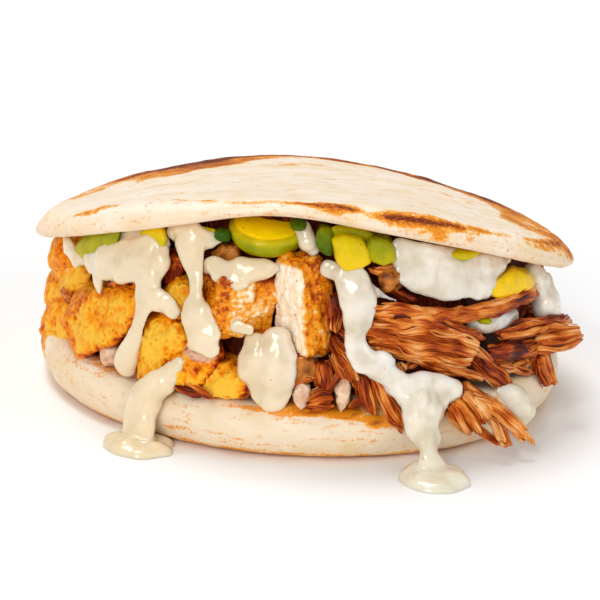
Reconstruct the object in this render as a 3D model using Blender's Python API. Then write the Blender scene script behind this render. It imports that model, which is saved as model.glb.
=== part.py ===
# Stuffed arepa: a round corn bread, split in two, holding a deep filling of fried chicken,
# grilled chicken, shredded beef, avocado, onion and mushroom under a thick white sauce.
#
# It lies flat with its open mouth towards -Y. The lower half rests on Z = 0, the upper half
# is tipped up at the mouth and droops at both sides. Each piece of the filling is placed by
# three numbers: how far across it sits (X), how high (Z), and its reach, the distance from the
# upright line through the bread's middle. Sizes and places are in millimetres.

import math

import bmesh
import bpy
from mathutils import Euler, Vector, noise

MM = 0.001
GAP = 0.35  # clear space between neighbouring pieces

# Lower half of the bread
LOWER_RADIUS = 59.0
LOWER_HEIGHT = 12.0
LOWER_FOOT = 53.0  # radius of the flat face that it rests on
LOWER_CENTRE = (0.8, 0.4)
FLAT_RING = 34.0  # a ring of points half way across each flat face

# Upper half of the bread
UPPER_RADIUS = 60.3
UPPER_FACE = 56.8  # radius of its flat toasted face
UPPER_THICKNESS = 5.5
UPPER_CENTRE = (0.5, 0.5, 47.3)
UPPER_TILT = math.radians(8.7)  # tipped up at the mouth
UPPER_DROOP = 11.6  # how far each side hangs below the middle
MOUTH_LIFT = 2.2  # the underside is pushed up over the avocado
MOUTH_LIFT_ACROSS = -6.0
MOUTH_LIFT_WIDTH = 17.0

# Filling
CORE_FRONT = 49.0  # reach of the packed filling behind the pieces in the mouth
CORE_BACK = 54.5
CORE_CLEAR = (0.5, 1.0)  # space to the lower and to the upper half
CORE_LUMPS = 2.2  # how far it bulges and hollows at the sides and back
MOUTH_ENDS = (68.0, 96.0)  # degrees from the mouth's middle where it goes over into the sides
PUDDLE_RADIUS = 7.7

BREAD_SIDES = 44
CORE_SIDES = 40
CORE_LEVELS = 6
STRAND_STEPS = 7
STRAND_SIDES = 10
SAUCE_SIDES = 12
SAUCE_VOXEL = 0.6  # the size of the cells in which runs of sauce melt together
ROUND_SIDES = 22
PLAIN_FACES = 150  # a piece with more faces than this after a cut is thinned
CUT_FACES_KEPT = 0.72  # the share of its faces that stay, as a cut leaves many slivers
FINISHES = {
    "bread": ((0.90, 0.74, 0.55), 0.62),
    "packed filling": ((0.22, 0.08, 0.04), 0.60),
    "fried chicken": ((0.90, 0.38, 0.05), 0.50),
    "grilled chicken": ((0.86, 0.56, 0.28), 0.55),
    "beef": ((0.40, 0.12, 0.04), 0.50),
    "avocado flesh": ((0.75, 0.56, 0.05), 0.40),
    "avocado rim": ((0.30, 0.45, 0.02), 0.40),
    "onion": ((0.80, 0.65, 0.52), 0.35),
    "mushroom": ((0.35, 0.20, 0.07), 0.45),
    "sauce": ((0.83, 0.79, 0.68), 0.25),
}


def clear_scene():
    for obj in list(bpy.data.objects):
        bpy.data.objects.remove(obj)


def add_piece(name, mesh, finish):
    """Link a mesh as a smooth-shaded object with a material of its own."""
    colour, roughness = FINISHES[finish]
    material = bpy.data.materials.new(f"{name} {finish}")
    material.use_nodes = True
    shader = material.node_tree.nodes["Principled BSDF"]
    shader.inputs["Base Color"].default_value = (*colour, 1.0)
    shader.inputs["Roughness"].default_value = roughness
    shader.inputs["Metallic"].default_value = 0.0
    mesh.materials.clear()
    mesh.materials.append(material)
    mesh.shade_smooth()
    piece = bpy.data.objects.new(name, mesh)
    bpy.context.scene.collection.objects.link(piece)
    return piece


def lofted(name, rings, first_tip, last_tip):
    """Closed mesh through rings of equally many points, closed by a fan to a point at each end."""
    bm = bmesh.new()
    loops = [[bm.verts.new(point) for point in ring] for ring in rings]
    for near, far in zip(loops, loops[1:]):
        for i in range(len(near)):
            following = (i + 1) % len(near)
            bm.faces.new((near[i], near[following], far[following], far[i]))
    for loop, tip, ahead in ((loops[0], first_tip, False), (loops[-1], last_tip, True)):
        centre = bm.verts.new(tip)
        for i in range(len(loop)):
            pair = (loop[i], loop[(i + 1) % len(loop)])
            bm.faces.new((*pair, centre) if ahead else (*reversed(pair), centre))
    bmesh.ops.recalc_face_normals(bm, faces=bm.faces)
    mesh = bpy.data.meshes.new(name)
    bm.to_mesh(mesh)
    bm.free()
    return mesh


def smoothstep(value, low, high):
    t = min(max((value - low) / (high - low), 0.0), 1.0)
    return t * t * (3.0 - 2.0 * t)


def at(across, height, reach):
    """The point in front of the bread's middle at this X, Z and distance from the middle."""
    return Vector((across, -math.sqrt(reach * reach - across * across), height)) * MM


# Bread halves


def turned(name, profile, centre, tip_heights, shape):
    """Round solid from a profile of (radius, height) pairs, each point then moved by shape."""
    rings = []
    for radius, height in profile:
        ring = []
        for i in range(BREAD_SIDES):
            angle = 2.0 * math.pi * (i + 0.5) / BREAD_SIDES
            wobble = 1.0 + 0.004 * math.sin(3.0 * angle + 0.6) + 0.003 * math.sin(5.0 * angle)
            x = radius * wobble * math.cos(angle)
            y = radius * wobble * math.sin(angle)
            ring.append(shape(x + centre[0], y + centre[1], height) * MM)
        rings.append(ring)
    tips = [shape(centre[0], centre[1], height) * MM for height in tip_heights]
    return add_piece(name, lofted(name, rings, *tips), "bread")


def lower_bread():
    """Flat underside, full rounded side, and the cut face that the filling lies on."""
    profile = [
        (FLAT_RING, 0.0),
        (LOWER_FOOT, 0.0),
        (LOWER_FOOT + 3.3, 1.1),
        (LOWER_RADIUS - 0.9, 3.4),
        (LOWER_RADIUS, 6.2),
        (LOWER_RADIUS - 0.3, 8.8),
        (LOWER_RADIUS - 1.6, 11.0),
        (LOWER_RADIUS - 3.4, LOWER_HEIGHT),
        (FLAT_RING, LOWER_HEIGHT - 0.2),
    ]
    return turned(
        "bread_lower",
        profile,
        LOWER_CENTRE,
        (0.0, LOWER_HEIGHT - 0.4),
        lambda x, y, z: Vector((x, y, z)),
    )


def upper_place(x, y, z):
    """A point of the flat upper half, drooped at the sides, tipped up at the mouth, set in place."""
    z = z - UPPER_DROOP * (x / UPPER_RADIUS) ** 2
    up = math.cos(UPPER_TILT)
    back = math.sin(UPPER_TILT)
    centre_x, centre_y, centre_z = UPPER_CENTRE
    return Vector((centre_x + x, centre_y + y * up + z * back, centre_z - y * back + z * up))


def underside(x, y):
    """Depth of the upper half's underside below its face, less where the avocado pushes it up."""
    lift = MOUTH_LIFT * math.exp(-(((x - MOUTH_LIFT_ACROSS) / MOUTH_LIFT_WIDTH) ** 2))
    return -UPPER_THICKNESS + lift * smoothstep(-y, 20.0, 50.0)


def upper_bread():
    """A thin drooping disc: flat toasted face, sloping rim, and the cut underside."""

    def shape(x, y, z):
        depth = -z / UPPER_THICKNESS
        return upper_place(x, y, underside(x, y) * depth)

    profile = [
        (FLAT_RING, 0.0),
        (UPPER_FACE - 2.0, 0.0),
        (UPPER_FACE, -0.35),
        (UPPER_RADIUS - 1.4, -1.6),
        (UPPER_RADIUS, -3.1),
        (UPPER_RADIUS - 0.5, -4.4),
        (UPPER_RADIUS - 2.4, -UPPER_THICKNESS),
        (FLAT_RING, -UPPER_THICKNESS),
    ]
    return turned("bread_upper", profile, (0.0, 0.0), (0.0, -UPPER_THICKNESS), shape)


# Packed filling between the halves


def packed_filling():
    """The mass between the halves: set back behind the mouth's pieces, lumpy at sides and back."""
    floor = LOWER_HEIGHT + CORE_CLEAR[0]

    def point(angle, level):
        from_mouth = abs(math.degrees(math.atan2(math.cos(angle), -math.sin(angle))))
        back = smoothstep(from_mouth, *MOUTH_ENDS)
        reach = CORE_FRONT + (CORE_BACK - CORE_FRONT) * back
        bulge = 1.0 - 0.05 * (2.0 * level - 1.0) ** 2 * back
        lump = noise.noise(Vector((3.0 * math.cos(angle), 3.0 * math.sin(angle), 2.5 * level)))
        reach = reach * bulge + CORE_LUMPS * lump * back
        x = reach * math.cos(angle)
        y = reach * math.sin(angle)
        ceiling = upper_place(x, y, underside(x, y)).z - CORE_CLEAR[1]
        return Vector((x, y, floor + (ceiling - floor) * level)) * MM

    rings = []
    for j in range(CORE_LEVELS):
        level = j / (CORE_LEVELS - 1)
        rings.append([point(2.0 * math.pi * i / CORE_SIDES, level) for i in range(CORE_SIDES)])
    top = upper_place(0.0, 0.0, -UPPER_THICKNESS).z - CORE_CLEAR[1]
    mesh = lofted("filling_core", rings, Vector((0, 0, floor)) * MM, Vector((0, 0, top)) * MM)
    return add_piece("filling_core", mesh, "packed filling")


# Forms of the pieces


def chunk(name, finish, place, size, lean=0.0, turn=0.0, square=2.6, rough=0.10, cuts=3):
    """A rounded lump or block: size across, deep and high, leaning in the mouth's plane and
    turned about the upright. The larger square is, the nearer it comes to a box."""
    bm = bmesh.new()
    bmesh.ops.create_cube(bm, size=2.0)
    bmesh.ops.subdivide_edges(bm, edges=bm.edges[:], cuts=cuts, use_grid_fill=True)
    offset = Vector((place[0] * 0.37, place[1] * 0.23, place[2] * 0.31))
    for vert in bm.verts:
        norm = sum(abs(c) ** square for c in vert.co) ** (1.0 / square)
        unit = vert.co / norm
        swell = 1.0 + rough * noise.noise(unit * 1.3 + offset)
        vert.co = Vector([unit[k] * swell * size[k] * 0.5 * MM for k in range(3)])
    mesh = bpy.data.meshes.new(name)
    bm.to_mesh(mesh)
    bm.free()
    piece = add_piece(name, mesh, finish)
    piece.location = at(*place)
    piece.rotation_euler = Euler((0.0, -math.radians(lean), math.radians(turn)))
    return piece


def strand(name, finish, start, end, width, flat=0.75, bow=0.0, tips=(0.6, 0.6), ridges=3):
    """A bundle of fibres from start to end, round the filling's front. Its middle rises by bow,
    flat is its depth over its width, and tips are its end widths as shares of its width."""
    start, end = Vector(start), Vector(end)
    centres, halves = [], []
    for i in range(STRAND_STEPS):
        t = i / (STRAND_STEPS - 1)
        across, height, reach = start.lerp(end, t)
        centres.append(at(across, height + 4.0 * bow * t * (1.0 - t), reach))
        narrow = tips[0] if t < 0.5 else tips[1]
        full = smoothstep(min(t, 1.0 - t), 0.0, 0.35)
        halves.append(0.5 * width * MM * (narrow + (1.0 - narrow) * full))
    rings = tube_rings(centres, halves, flat, STRAND_SIDES, ridges)
    first = centres[0] + (centres[0] - centres[1]).normalized() * halves[0] * 0.4
    last = centres[-1] + (centres[-1] - centres[-2]).normalized() * halves[-1] * 0.4
    return add_piece(name, lofted(name, rings, first, last), finish)


def tube_rings(centres, halves, flat, sides, ridges=0):
    """Rings about a path on the filling's front, thinner by flat in the outward direction."""
    rings = []
    for i, centre in enumerate(centres):
        ahead = centres[min(i + 1, len(centres) - 1)] - centres[max(i - 1, 0)]
        outward = Vector((centre.x, centre.y, 0.0)).normalized()
        beside = ahead.cross(outward).normalized()
        outward = beside.cross(ahead).normalized()
        ring = []
        for j in range(sides):
            angle = 2.0 * math.pi * j / sides
            swell = 1.0
            if ridges:
                swell += 0.10 * math.cos(ridges * angle + 0.5 * i)
            half = halves[i] * swell
            ring.append(
                centre
                + beside * half * math.cos(angle)
                + outward * half * flat * math.sin(angle)
            )
        rings.append(ring)
    return rings


def rounded(centres, halves):
    """The path and its half widths, carried on past both ends in two narrowing steps."""
    first = (centres[0] - centres[1]).normalized() * halves[0]
    last = (centres[-1] - centres[-2]).normalized() * halves[-1]
    start, end = centres[0], centres[-1]
    before = [start + first * 0.86, start + first * 0.5]
    after = [end + last * 0.5, end + last * 0.86]
    centres = [*before, *centres, *after]
    halves = [halves[0] * 0.5, halves[0] * 0.86, *halves, halves[-1] * 0.86, halves[-1] * 0.5]
    return centres, halves, start + first, end + last


def run_of_sauce(stops, flat):
    """One run: a round-ended tube through stops of (across, height, reach, width)."""
    centres = [at(*stop[:3]) for stop in stops]
    halves = [0.5 * stop[3] * MM for stop in stops]
    centres, halves, first, last = rounded(centres, halves)
    return lofted("run", tube_rings(centres, halves, flat, SAUCE_SIDES), first, last)


def puddle_of_sauce(across, back, radius, height):
    """A low round dome on the table, carried a little below it and trimmed later."""
    rings = []
    for share in (-0.9, -0.6, -0.3, 0.0, 0.35, 0.65, 0.88):
        round_share = math.sqrt(1.0 - share * share)
        ring = []
        for i in range(SAUCE_SIDES):
            angle = 2.0 * math.pi * i / SAUCE_SIDES
            x = across + radius * round_share * math.cos(angle)
            y = back + radius * round_share * math.sin(angle)
            ring.append(Vector((x, y, height * share)) * MM)
        rings.append(ring)
    tips = [Vector((across, back, height * share)) * MM for share in (-1.0, 1.0)]
    return lofted("puddle", rings, *tips)


def sauce(name, runs, flat=0.6, puddle=None, faces=300):
    """Thick sauce: several runs, and a puddle where it dripped, melted into one smooth body."""
    bm = bmesh.new()
    shapes = [run_of_sauce(stops, flat) for stops in runs]
    if puddle:
        shapes.append(puddle_of_sauce(*puddle))
    for shape in shapes:
        bm.from_mesh(shape)
        bpy.data.meshes.remove(shape)
    mesh = bpy.data.meshes.new(name)
    bm.to_mesh(mesh)
    bm.free()
    piece = add_piece(name, mesh, "sauce")
    melt = piece.modifiers.new("Melt", "REMESH")
    melt.mode = "VOXEL"
    melt.voxel_size = SAUCE_VOXEL * MM
    soften = piece.modifiers.new("Soften", "SMOOTH")
    soften.factor = 0.5
    soften.iterations = 6
    apply_modifiers(piece)
    thin = piece.modifiers.new("Thin", "DECIMATE")
    thin.ratio = faces / max(len(piece.data.polygons) * 2, faces)
    apply_modifiers(piece)
    if puddle:
        lay_flat(piece)
    return piece


def lay_flat(piece):
    """Cut away what lies below the table and close the cut with a flat face."""
    bm = bmesh.new()
    bm.from_mesh(piece.data)
    everything = bm.verts[:] + bm.edges[:] + bm.faces[:]
    bmesh.ops.bisect_plane(
        bm, geom=everything, dist=0.01 * MM, plane_co=(0, 0, 0), plane_no=(0, 0, 1), clear_inner=True
    )
    open_edges = [edge for edge in bm.edges if edge.is_boundary]
    bmesh.ops.holes_fill(bm, edges=open_edges)
    bmesh.ops.triangulate(bm, faces=bm.faces)
    bm.to_mesh(piece.data)
    bm.free()


def avocado_round(name, place, radius, depth):
    """A slice across a pitted half: flat yellow face on top, rounded green rim below."""
    profile = [
        (0.70, 0.0),
        (0.95, 0.0),
        (1.0, -0.12),
        (0.97, -0.40),
        (0.85, -0.68),
        (0.62, -0.88),
        (0.33, -0.98),
    ]
    rings = []
    for share, drop in profile:
        ring = []
        for i in range(ROUND_SIDES):
            angle = 2.0 * math.pi * i / ROUND_SIDES
            x, y = share * radius * math.cos(angle), share * radius * math.sin(angle)
            ring.append(Vector((x, y, drop * depth)) * MM)
        rings.append(ring)
    tips = [Vector((0, 0, drop * depth)) * MM for drop in (0.0, -1.0)]
    piece = add_piece(name, lofted(name, rings, *tips), "avocado rim")
    piece.location = at(*place)
    piece.rotation_euler = Euler((math.radians(9.0), 0.0, 0.0))
    return piece


# Fitting the pieces to each other


def apply_modifiers(piece):
    graph = bpy.context.evaluated_depsgraph_get()
    mesh = bpy.data.meshes.new_from_object(piece.evaluated_get(graph))
    piece.modifiers.clear()
    before = piece.data
    piece.data = mesh
    bpy.data.meshes.remove(before)


def bounds(piece):
    points = [piece.matrix_world @ vert.co for vert in piece.data.vertices]
    low = [min(point[k] for point in points) for k in range(3)]
    high = [max(point[k] for point in points) for k in range(3)]
    return low, high


def touching(first, second):
    """Whether two pieces' boxes come within the gap of each other."""
    low_a, high_a = bounds(first)
    low_b, high_b = bounds(second)
    return all(
        low_a[k] < high_b[k] + GAP * MM and low_b[k] < high_a[k] + GAP * MM for k in range(3)
    )


def grown(piece):
    """A cutter: the piece's copy, in place, with its surface moved out by the gap."""
    bm = bmesh.new()
    bm.from_mesh(piece.data)
    bmesh.ops.transform(bm, matrix=piece.matrix_world, verts=bm.verts)
    bm.normal_update()
    moves = [vert.normal * GAP * MM * min(vert.calc_shell_factor(), 1.6) for vert in bm.verts]
    for vert, move in zip(bm.verts, moves):
        vert.co += move
    mesh = bpy.data.meshes.new(f"{piece.name} clearance")
    bm.to_mesh(mesh)
    bm.free()
    return bpy.data.objects.new(mesh.name, mesh)


def keep_largest(piece):
    """Drop the crumbs that a cut leaves and keep the largest body."""
    bm = bmesh.new()
    bm.from_mesh(piece.data)
    bmesh.ops.triangulate(bm, faces=bm.faces)
    waiting = set(bm.faces)
    bodies = []
    while waiting:
        body = []
        rim = [waiting.pop()]
        while rim:
            face = rim.pop()
            body.append(face)
            for edge in face.edges:
                if not edge.is_manifold:
                    continue
                for other in edge.link_faces:
                    if other in waiting:
                        waiting.remove(other)
                        rim.append(other)
        bodies.append(body)

    def volume(body):
        corners = [[vert.co for vert in face.verts] for face in body]
        return abs(sum(a.dot(b.cross(c)) for a, b, c in corners))

    bodies.sort(key=volume)
    crumbs = [face for body in bodies[:-1] for face in body]
    bmesh.ops.delete(bm, geom=crumbs, context="FACES")
    bm.to_mesh(piece.data)
    bm.free()


def fit(piece, settled):
    """Cut a piece back to the gap wherever it would run into pieces already settled."""
    bpy.context.view_layer.update()
    near = [other for other in settled if touching(piece, other)]
    if not near:
        return
    cutters = bpy.data.collections.new("Cutters")
    bpy.context.scene.collection.children.link(cutters)
    for other in near:
        cutters.objects.link(grown(other))
    cut = piece.modifiers.new("Clearance", "BOOLEAN")
    cut.operation = "DIFFERENCE"
    cut.operand_type = "COLLECTION"
    cut.collection = cutters
    cut.solver = "EXACT"
    apply_modifiers(piece)
    for cutter in list(cutters.objects):
        bpy.data.meshes.remove(cutter.data)
    bpy.data.collections.remove(cutters)
    keep_largest(piece)
    if len(piece.data.polygons) > PLAIN_FACES:
        slivers = piece.modifiers.new("Slivers", "DECIMATE")
        slivers.ratio = max(CUT_FACES_KEPT, PLAIN_FACES / len(piece.data.polygons))
        apply_modifiers(piece)


# Pieces, each cut back to the ones before it


def hanging_beef():
    """Strips that spill over the lower half's rim at the right."""
    yield strand("strip_long_upper", "beef", (35.5, 15, 58), (51.5, 4.3, 70), 3.2, bow=1.0)
    yield strand("strip_long_lower", "beef", (40, 11.5, 58.5), (50, 4.0, 69.5), 2.7, bow=0.5)
    yield strand("strip_short", "beef", (42, 9.0, 61), (45.5, 4.2, 68.5), 3.2)
    yield chunk("beef_lump_low", "beef", (40, 10.5, 61.5), (6.5, 6, 4.8), lean=-32, cuts=2)
    yield chunk("beef_mass_low", "beef", (36, 9, 59), (9, 9, 8.5), cuts=2)


def upper_beef():
    """Long bundles across the right of the mouth."""
    yield strand("beef_roll", "beef", (15.5, 33, 56.5), (51, 30.8, 57), 4.0, bow=1.2, flat=0.9)
    yield strand("beef_bundle", "beef", (14, 28, 56), (36, 23, 57.5), 8.6, bow=1.8, flat=0.6)
    yield strand("beef_over_bundle", "beef", (16, 32, 57), (35.5, 27, 58), 3.8, bow=1.3)
    yield strand("beef_under_bundle", "beef", (25.5, 21.5, 56), (39, 16, 57), 3.2, bow=0.8)
    yield strand("beef_right_tip", "beef", (51.5, 19, 57.5), (64, 20.3, 66.5), 5.8, tips=(0.8, 0.3))
    yield strand("beef_right_upper", "beef", (43, 23.8, 55.5), (60, 22.6, 62), 3.8, bow=1.0)
    yield strand("beef_right_lower", "beef", (40.5, 20.8, 55.5), (54.5, 18, 58), 4.8)
    yield chunk("beef_end_right", "beef", (55, 12, 58.5), (6.5, 11, 9.5), lean=15, rough=0.2)
    yield strand("beef_diagonal", "beef", (38, 20, 56), (47.5, 11, 57.5), 4.0, bow=1.0)
    yield chunk("beef_dark_right", "beef", (38, 18.3, 53.5), (6.5, 9, 6), cuts=2)


def middle_bits():
    """Beef shreds, mushroom and onion low in the middle."""
    yield strand("strand_long", "beef", (17, 20, 57), (23.3, 7.5, 60), 3.4, tips=(0.8, 0.5))
    yield strand("strand_short", "beef", (13.7, 20, 56.5), (17.2, 11, 58.5), 3.2)
    yield chunk("beef_orange_middle", "beef", (10.5, 20.5, 55), (5.6, 10, 6.5), lean=13, cuts=2)
    yield chunk("mushroom_middle", "mushroom", (1.3, 19.6, 54), (7.2, 10, 5.4), lean=-9, cuts=2)
    yield chunk("beef_upright", "beef", (6.2, 18.3, 55), (4.6, 9, 8), lean=-9, cuts=2)
    yield chunk("beef_orange_low", "beef", (5.5, 13.5, 56), (6.8, 9, 5), cuts=2)
    yield chunk("onion_strip", "onion", (2.0, 14.5, 55), (3.8, 8, 7), lean=-9, cuts=2)
    yield chunk("onion_right", "onion", (10.5, 14.8, 56), (3.4, 8, 8), lean=-7, cuts=2)
    yield chunk("beef_dark_middle", "beef", (9.5, 24.5, 53), (7, 9, 6), lean=-22, cuts=2)
    yield chunk("shreds_middle", "beef", (8, 32, 53), (5, 9, 10), cuts=2)


def grilled_chicken():
    """A cut cube and a tall slab, each turned to show an upright edge."""
    grilled = "grilled chicken"
    yield chunk("grilled_slab", grilled, (1, 33, 51.8), (9, 9, 21.5), 9, 42, 7, 0.05)
    yield chunk("grilled_cube", grilled, (-12.6, 32, 50.8), (14, 12.4, 14), -5, 25, 7, 0.05)


def fried_chicken():
    """Golden battered pieces at the left, the largest in front."""
    fried = "fried chicken"
    yield chunk("fried_large", fried, (-40.8, 20, 50.3), (20, 17, 13.5), lean=25, square=3.6)
    yield chunk("fried_middle", fried, (-28.2, 19.6, 51), (11.5, 16, 19), lean=-17, square=3.0)
    yield chunk("fried_low", fried, (-21.2, 18.2, 51.5), (14, 15, 9.8), lean=11, rough=0.15)
    yield chunk("fried_low_right", fried, (-13.8, 14.3, 51), (11, 14, 7.5), lean=-12)
    yield chunk("fried_middle_upper", fried, (-24.8, 30, 51), (7.2, 12, 12))
    yield chunk("fried_edge_lower", fried, (-52.2, 14.3, 55.5), (11.5, 18, 12.5))
    yield chunk("fried_edge_upper", fried, (-51.6, 24, 55), (10.5, 18, 15.5), lean=-14)
    yield chunk("fried_peak", fried, (-37.4, 30, 50), (8, 12, 8.5), cuts=2)
    yield chunk("fried_bit_high", fried, (-27, 37, 51), (5.8, 12, 7.5), lean=-8, cuts=2)


def avocado():
    """Slices and cubes under the upper half."""
    flesh, rim = "avocado flesh", "avocado rim"
    yield avocado_round("avocado_round", (-7.2, 49.2, 49.5), 8.2, 6.2)
    yield chunk("avocado_chunk", flesh, (10, 44.7, 52.5), (7.6, 12, 7.8), lean=-5, square=4, cuts=2)
    yield chunk("avocado_skin_piece", rim, (4.4, 47.2, 54), (4.2, 8, 7.4), lean=9, cuts=2)
    yield strand("avocado_skin_arc", rim, (6.5, 49.2, 54), (15, 46.8, 53), 2.6, bow=1.0, ridges=0)
    yield chunk("avocado_cube", rim, (16.6, 44.8, 52), (7.2, 10, 6.4), lean=-9, square=4, cuts=2)
    yield chunk("avocado_wedge", flesh, (45, 34.4, 53.2), (11.5, 10, 6.4), lean=17)
    yield chunk("avocado_slice_left", rim, (-43.2, 38.3, 53), (12.5, 8, 6.8), lean=27)
    yield chunk("avocado_piece_left", flesh, (-32, 42.2, 51), (6.5, 10, 7), lean=8, cuts=2)


def upper_bits():
    """Mushroom slices between the avocado and the chicken."""
    yield chunk("mushroom_left", "mushroom", (-15.5, 42.5, 51), (5.5, 10, 4), cuts=2)
    yield chunk("mushroom_round", "mushroom", (19, 39, 53), (5, 9, 6.4), cuts=2)


def sauces():
    """Sheets under the upper half, streams down the mouth, and two drips to the table."""
    yield sauce(
        "sauce_left",
        [
            [(-46, 34, 55, 8), (-41, 36, 55.5, 9.5), (-36, 37.8, 55.2, 10), (-31, 39, 54.8, 9.5)],
            [(-45.5, 32, 56, 7), (-42.5, 31, 57.5, 4.5)],
            [(-31.5, 37, 56, 7.5), (-30.8, 34, 57, 6), (-31, 30, 57.8, 4.6), (-32.5, 25.5, 57.8, 4)],
            [(-32.5, 25.5, 57.8, 4), (-33.5, 20, 57.4, 4.2), (-35.5, 16, 57.2, 5.2)],
            [(-31, 30, 57.8, 4.6), (-27.3, 30.8, 58, 5.4)],
        ],
        flat=0.45,
        faces=360,
    )
    yield sauce(
        "sauce_middle",
        [
            [(-22, 44, 54.5, 8), (-18, 44.5, 54.5, 6)],
            [(-22.5, 42, 55.5, 6.6), (-23, 38.5, 56.5, 4.2), (-22.5, 35, 58, 3.8)],
            [(-22.5, 35, 58, 3.8), (-21, 30.5, 58.5, 5.4), (-19.7, 27, 59, 7.4), (-20, 23.5, 59.5, 8.4)],
        ],
        flat=0.5,
        faces=280,
    )
    yield sauce(
        "sauce_drip_left",
        [
            [(-26.8, 18, 58.5, 3.6), (-27.5, 15, 59, 4.8), (-29, 12, 60.4, 6.2)],
            [(-29, 12, 60.4, 6.2), (-31, 8.5, 61, 7.4), (-31.3, 3.5, 61.5, 7)],
        ],
        puddle=(-31.2, -53.5, PUDDLE_RADIUS, 2.6),
        faces=260,
    )
    yield sauce(
        "sauce_bulge_middle",
        [[(-7, 24.8, 57, 8.5), (-6.3, 21, 57.5, 11.5), (-4.5, 16.8, 57.4, 9)]],
        flat=0.5,
        faces=200,
    )
    yield sauce(
        "sauce_right",
        [
            [(7, 41, 55.5, 5), (10.5, 38, 56, 8), (12, 33.5, 57.3, 8), (12.2, 28.5, 58.2, 6)],
            [(12.2, 28.5, 58.2, 6), (13.5, 24, 58.4, 7), (19.5, 19.5, 59, 8.4), (27.5, 16, 60, 11)],
            [(13, 37.5, 56.8, 7), (19.5, 35.7, 56.4, 3)],
            [(23.5, 18.8, 59, 4.4), (28.5, 19, 59.5, 5), (33.8, 16.2, 59.5, 5.2)],
            [(26.5, 15, 60, 11.5), (27, 11, 61.5, 11), (28.6, 7.5, 63.6, 5.4)],
            [(28.6, 7.5, 63.6, 5.4), (29.1, 5, 66.5, 3.8), (29.6, 3, 69, 5.4)],
        ],
        flat=0.45,
        puddle=(29.9, -63.8, PUDDLE_RADIUS, 2.8),
        faces=520,
    )
    yield sauce(
        "sauce_upper_right",
        [
            [(21, 43.8, 54.5, 6), (27, 42.3, 55, 8), (33.5, 40.5, 55.5, 8.5), (42, 38.2, 54.8, 7)],
            [(22.5, 38.8, 55.8, 4.5), (28.5, 37, 56.4, 6.2), (35, 36.3, 56.8, 6.5), (40, 34.8, 56.2, 4)],
        ],
        flat=0.45,
        faces=300,
    )
    yield sauce(
        "sauce_drip_right",
        [
            [(45.8, 10.8, 57.8, 3.6), (48.5, 9.4, 60, 5.2), (50.3, 6.6, 61.5, 4.8)],
            [(50.3, 6.6, 61.5, 4.8), (50.2, 4.4, 61.5, 2.8)],
        ],
        faces=140,
    )
    yield sauce(
        "sauce_right_edge",
        [[(50.5, 34, 55, 5.5), (52.3, 30.5, 56.3, 6.5), (54, 27, 58, 7.5), (56, 22.5, 59.5, 5.5)]],
        flat=1.0,
        faces=180,
    )
    yield sauce(
        "sauce_on_cube",
        [[(-17, 39.3, 54, 5.4), (-13, 38.8, 55.8, 7), (-8.7, 40, 55, 5.6), (-5.4, 40.2, 54.5, 3.6)]],
        faces=180,
    )
    yield sauce("sauce_upper_middle", [[(0.4, 49.5, 53, 3.8), (1.4, 47, 54, 4.2)]], faces=120)


def build():
    clear_scene()
    settled = [lower_bread(), upper_bread(), packed_filling()]
    groups = (
        hanging_beef,
        upper_beef,
        middle_bits,
        grilled_chicken,
        fried_chicken,
        avocado,
        upper_bits,
        sauces,
    )
    for group in groups:
        for piece in group():
            fit(piece, settled)
            settled.append(piece)


build()
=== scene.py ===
"""Stuffed arepa: the looks of each piece of food, the floor, the light and the camera.

Every form is a surface worked out on a grid. Sizes and places are in millimetres: across to the
right, height above the table, and reach, the distance from the upright line through the bread's
middle. The open mouth faces -Y.
"""

import math
from functools import partial

import bpy
import numpy as np
from mathutils import Matrix, Vector


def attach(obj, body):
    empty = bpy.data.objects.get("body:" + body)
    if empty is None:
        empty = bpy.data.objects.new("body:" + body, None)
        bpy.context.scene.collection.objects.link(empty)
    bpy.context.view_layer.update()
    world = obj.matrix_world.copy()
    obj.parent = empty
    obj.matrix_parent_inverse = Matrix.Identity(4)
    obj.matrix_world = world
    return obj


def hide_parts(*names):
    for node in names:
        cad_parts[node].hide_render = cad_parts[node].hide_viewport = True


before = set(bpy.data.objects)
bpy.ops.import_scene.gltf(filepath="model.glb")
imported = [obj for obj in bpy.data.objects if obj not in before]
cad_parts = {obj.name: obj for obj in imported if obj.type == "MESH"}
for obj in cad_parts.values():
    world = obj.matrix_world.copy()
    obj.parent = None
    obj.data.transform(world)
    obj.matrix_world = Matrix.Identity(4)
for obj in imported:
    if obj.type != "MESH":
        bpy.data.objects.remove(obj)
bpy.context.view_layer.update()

# Lower half of the bread
#
# A thick round of white corn dough, baked on a griddle and split across. The dough is pale and
# finely grained, browned where it met the plate and painted darker there as shade, and stained
# where the filling's fat ran over.

MM = 0.001


def linear(hex_colour):
    """An sRGB hex colour as linear light: ((c + 0.055) / 1.055) ** 2.4, or c / 12.92 when dark."""
    parts = [int(hex_colour[i : i + 2], 16) / 255 for i in (1, 3, 5)]
    return (*[((c + 0.055) / 1.055) ** 2.4 if c > 0.04045 else c / 12.92 for c in parts], 1.0)


def fill(tree, node, inputs):
    """Give each input of a node another node's output, a hex colour or a plain value."""
    for key, value in inputs.items():
        if isinstance(value, bpy.types.NodeSocket):
            tree.links.new(value, node.inputs[key])
        else:
            node.inputs[key].default_value = linear(value) if isinstance(value, str) else value


def add_node(tree, kind, inputs=None, out=0, stops=(), **settings):
    """Add a node to a material, set it up, link it, and return one of its outputs."""
    node = tree.nodes.new("ShaderNode" + kind)
    for key, value in settings.items():
        setattr(node, key, value)
    fill(tree, node, inputs or {})
    for i, (place, colour) in enumerate(stops):
        ramp = node.color_ramp.elements
        stop = ramp[i] if i < 2 else ramp.new(place)
        stop.position = place
        stop.color = linear(colour)
    return node.outputs[out]


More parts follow.
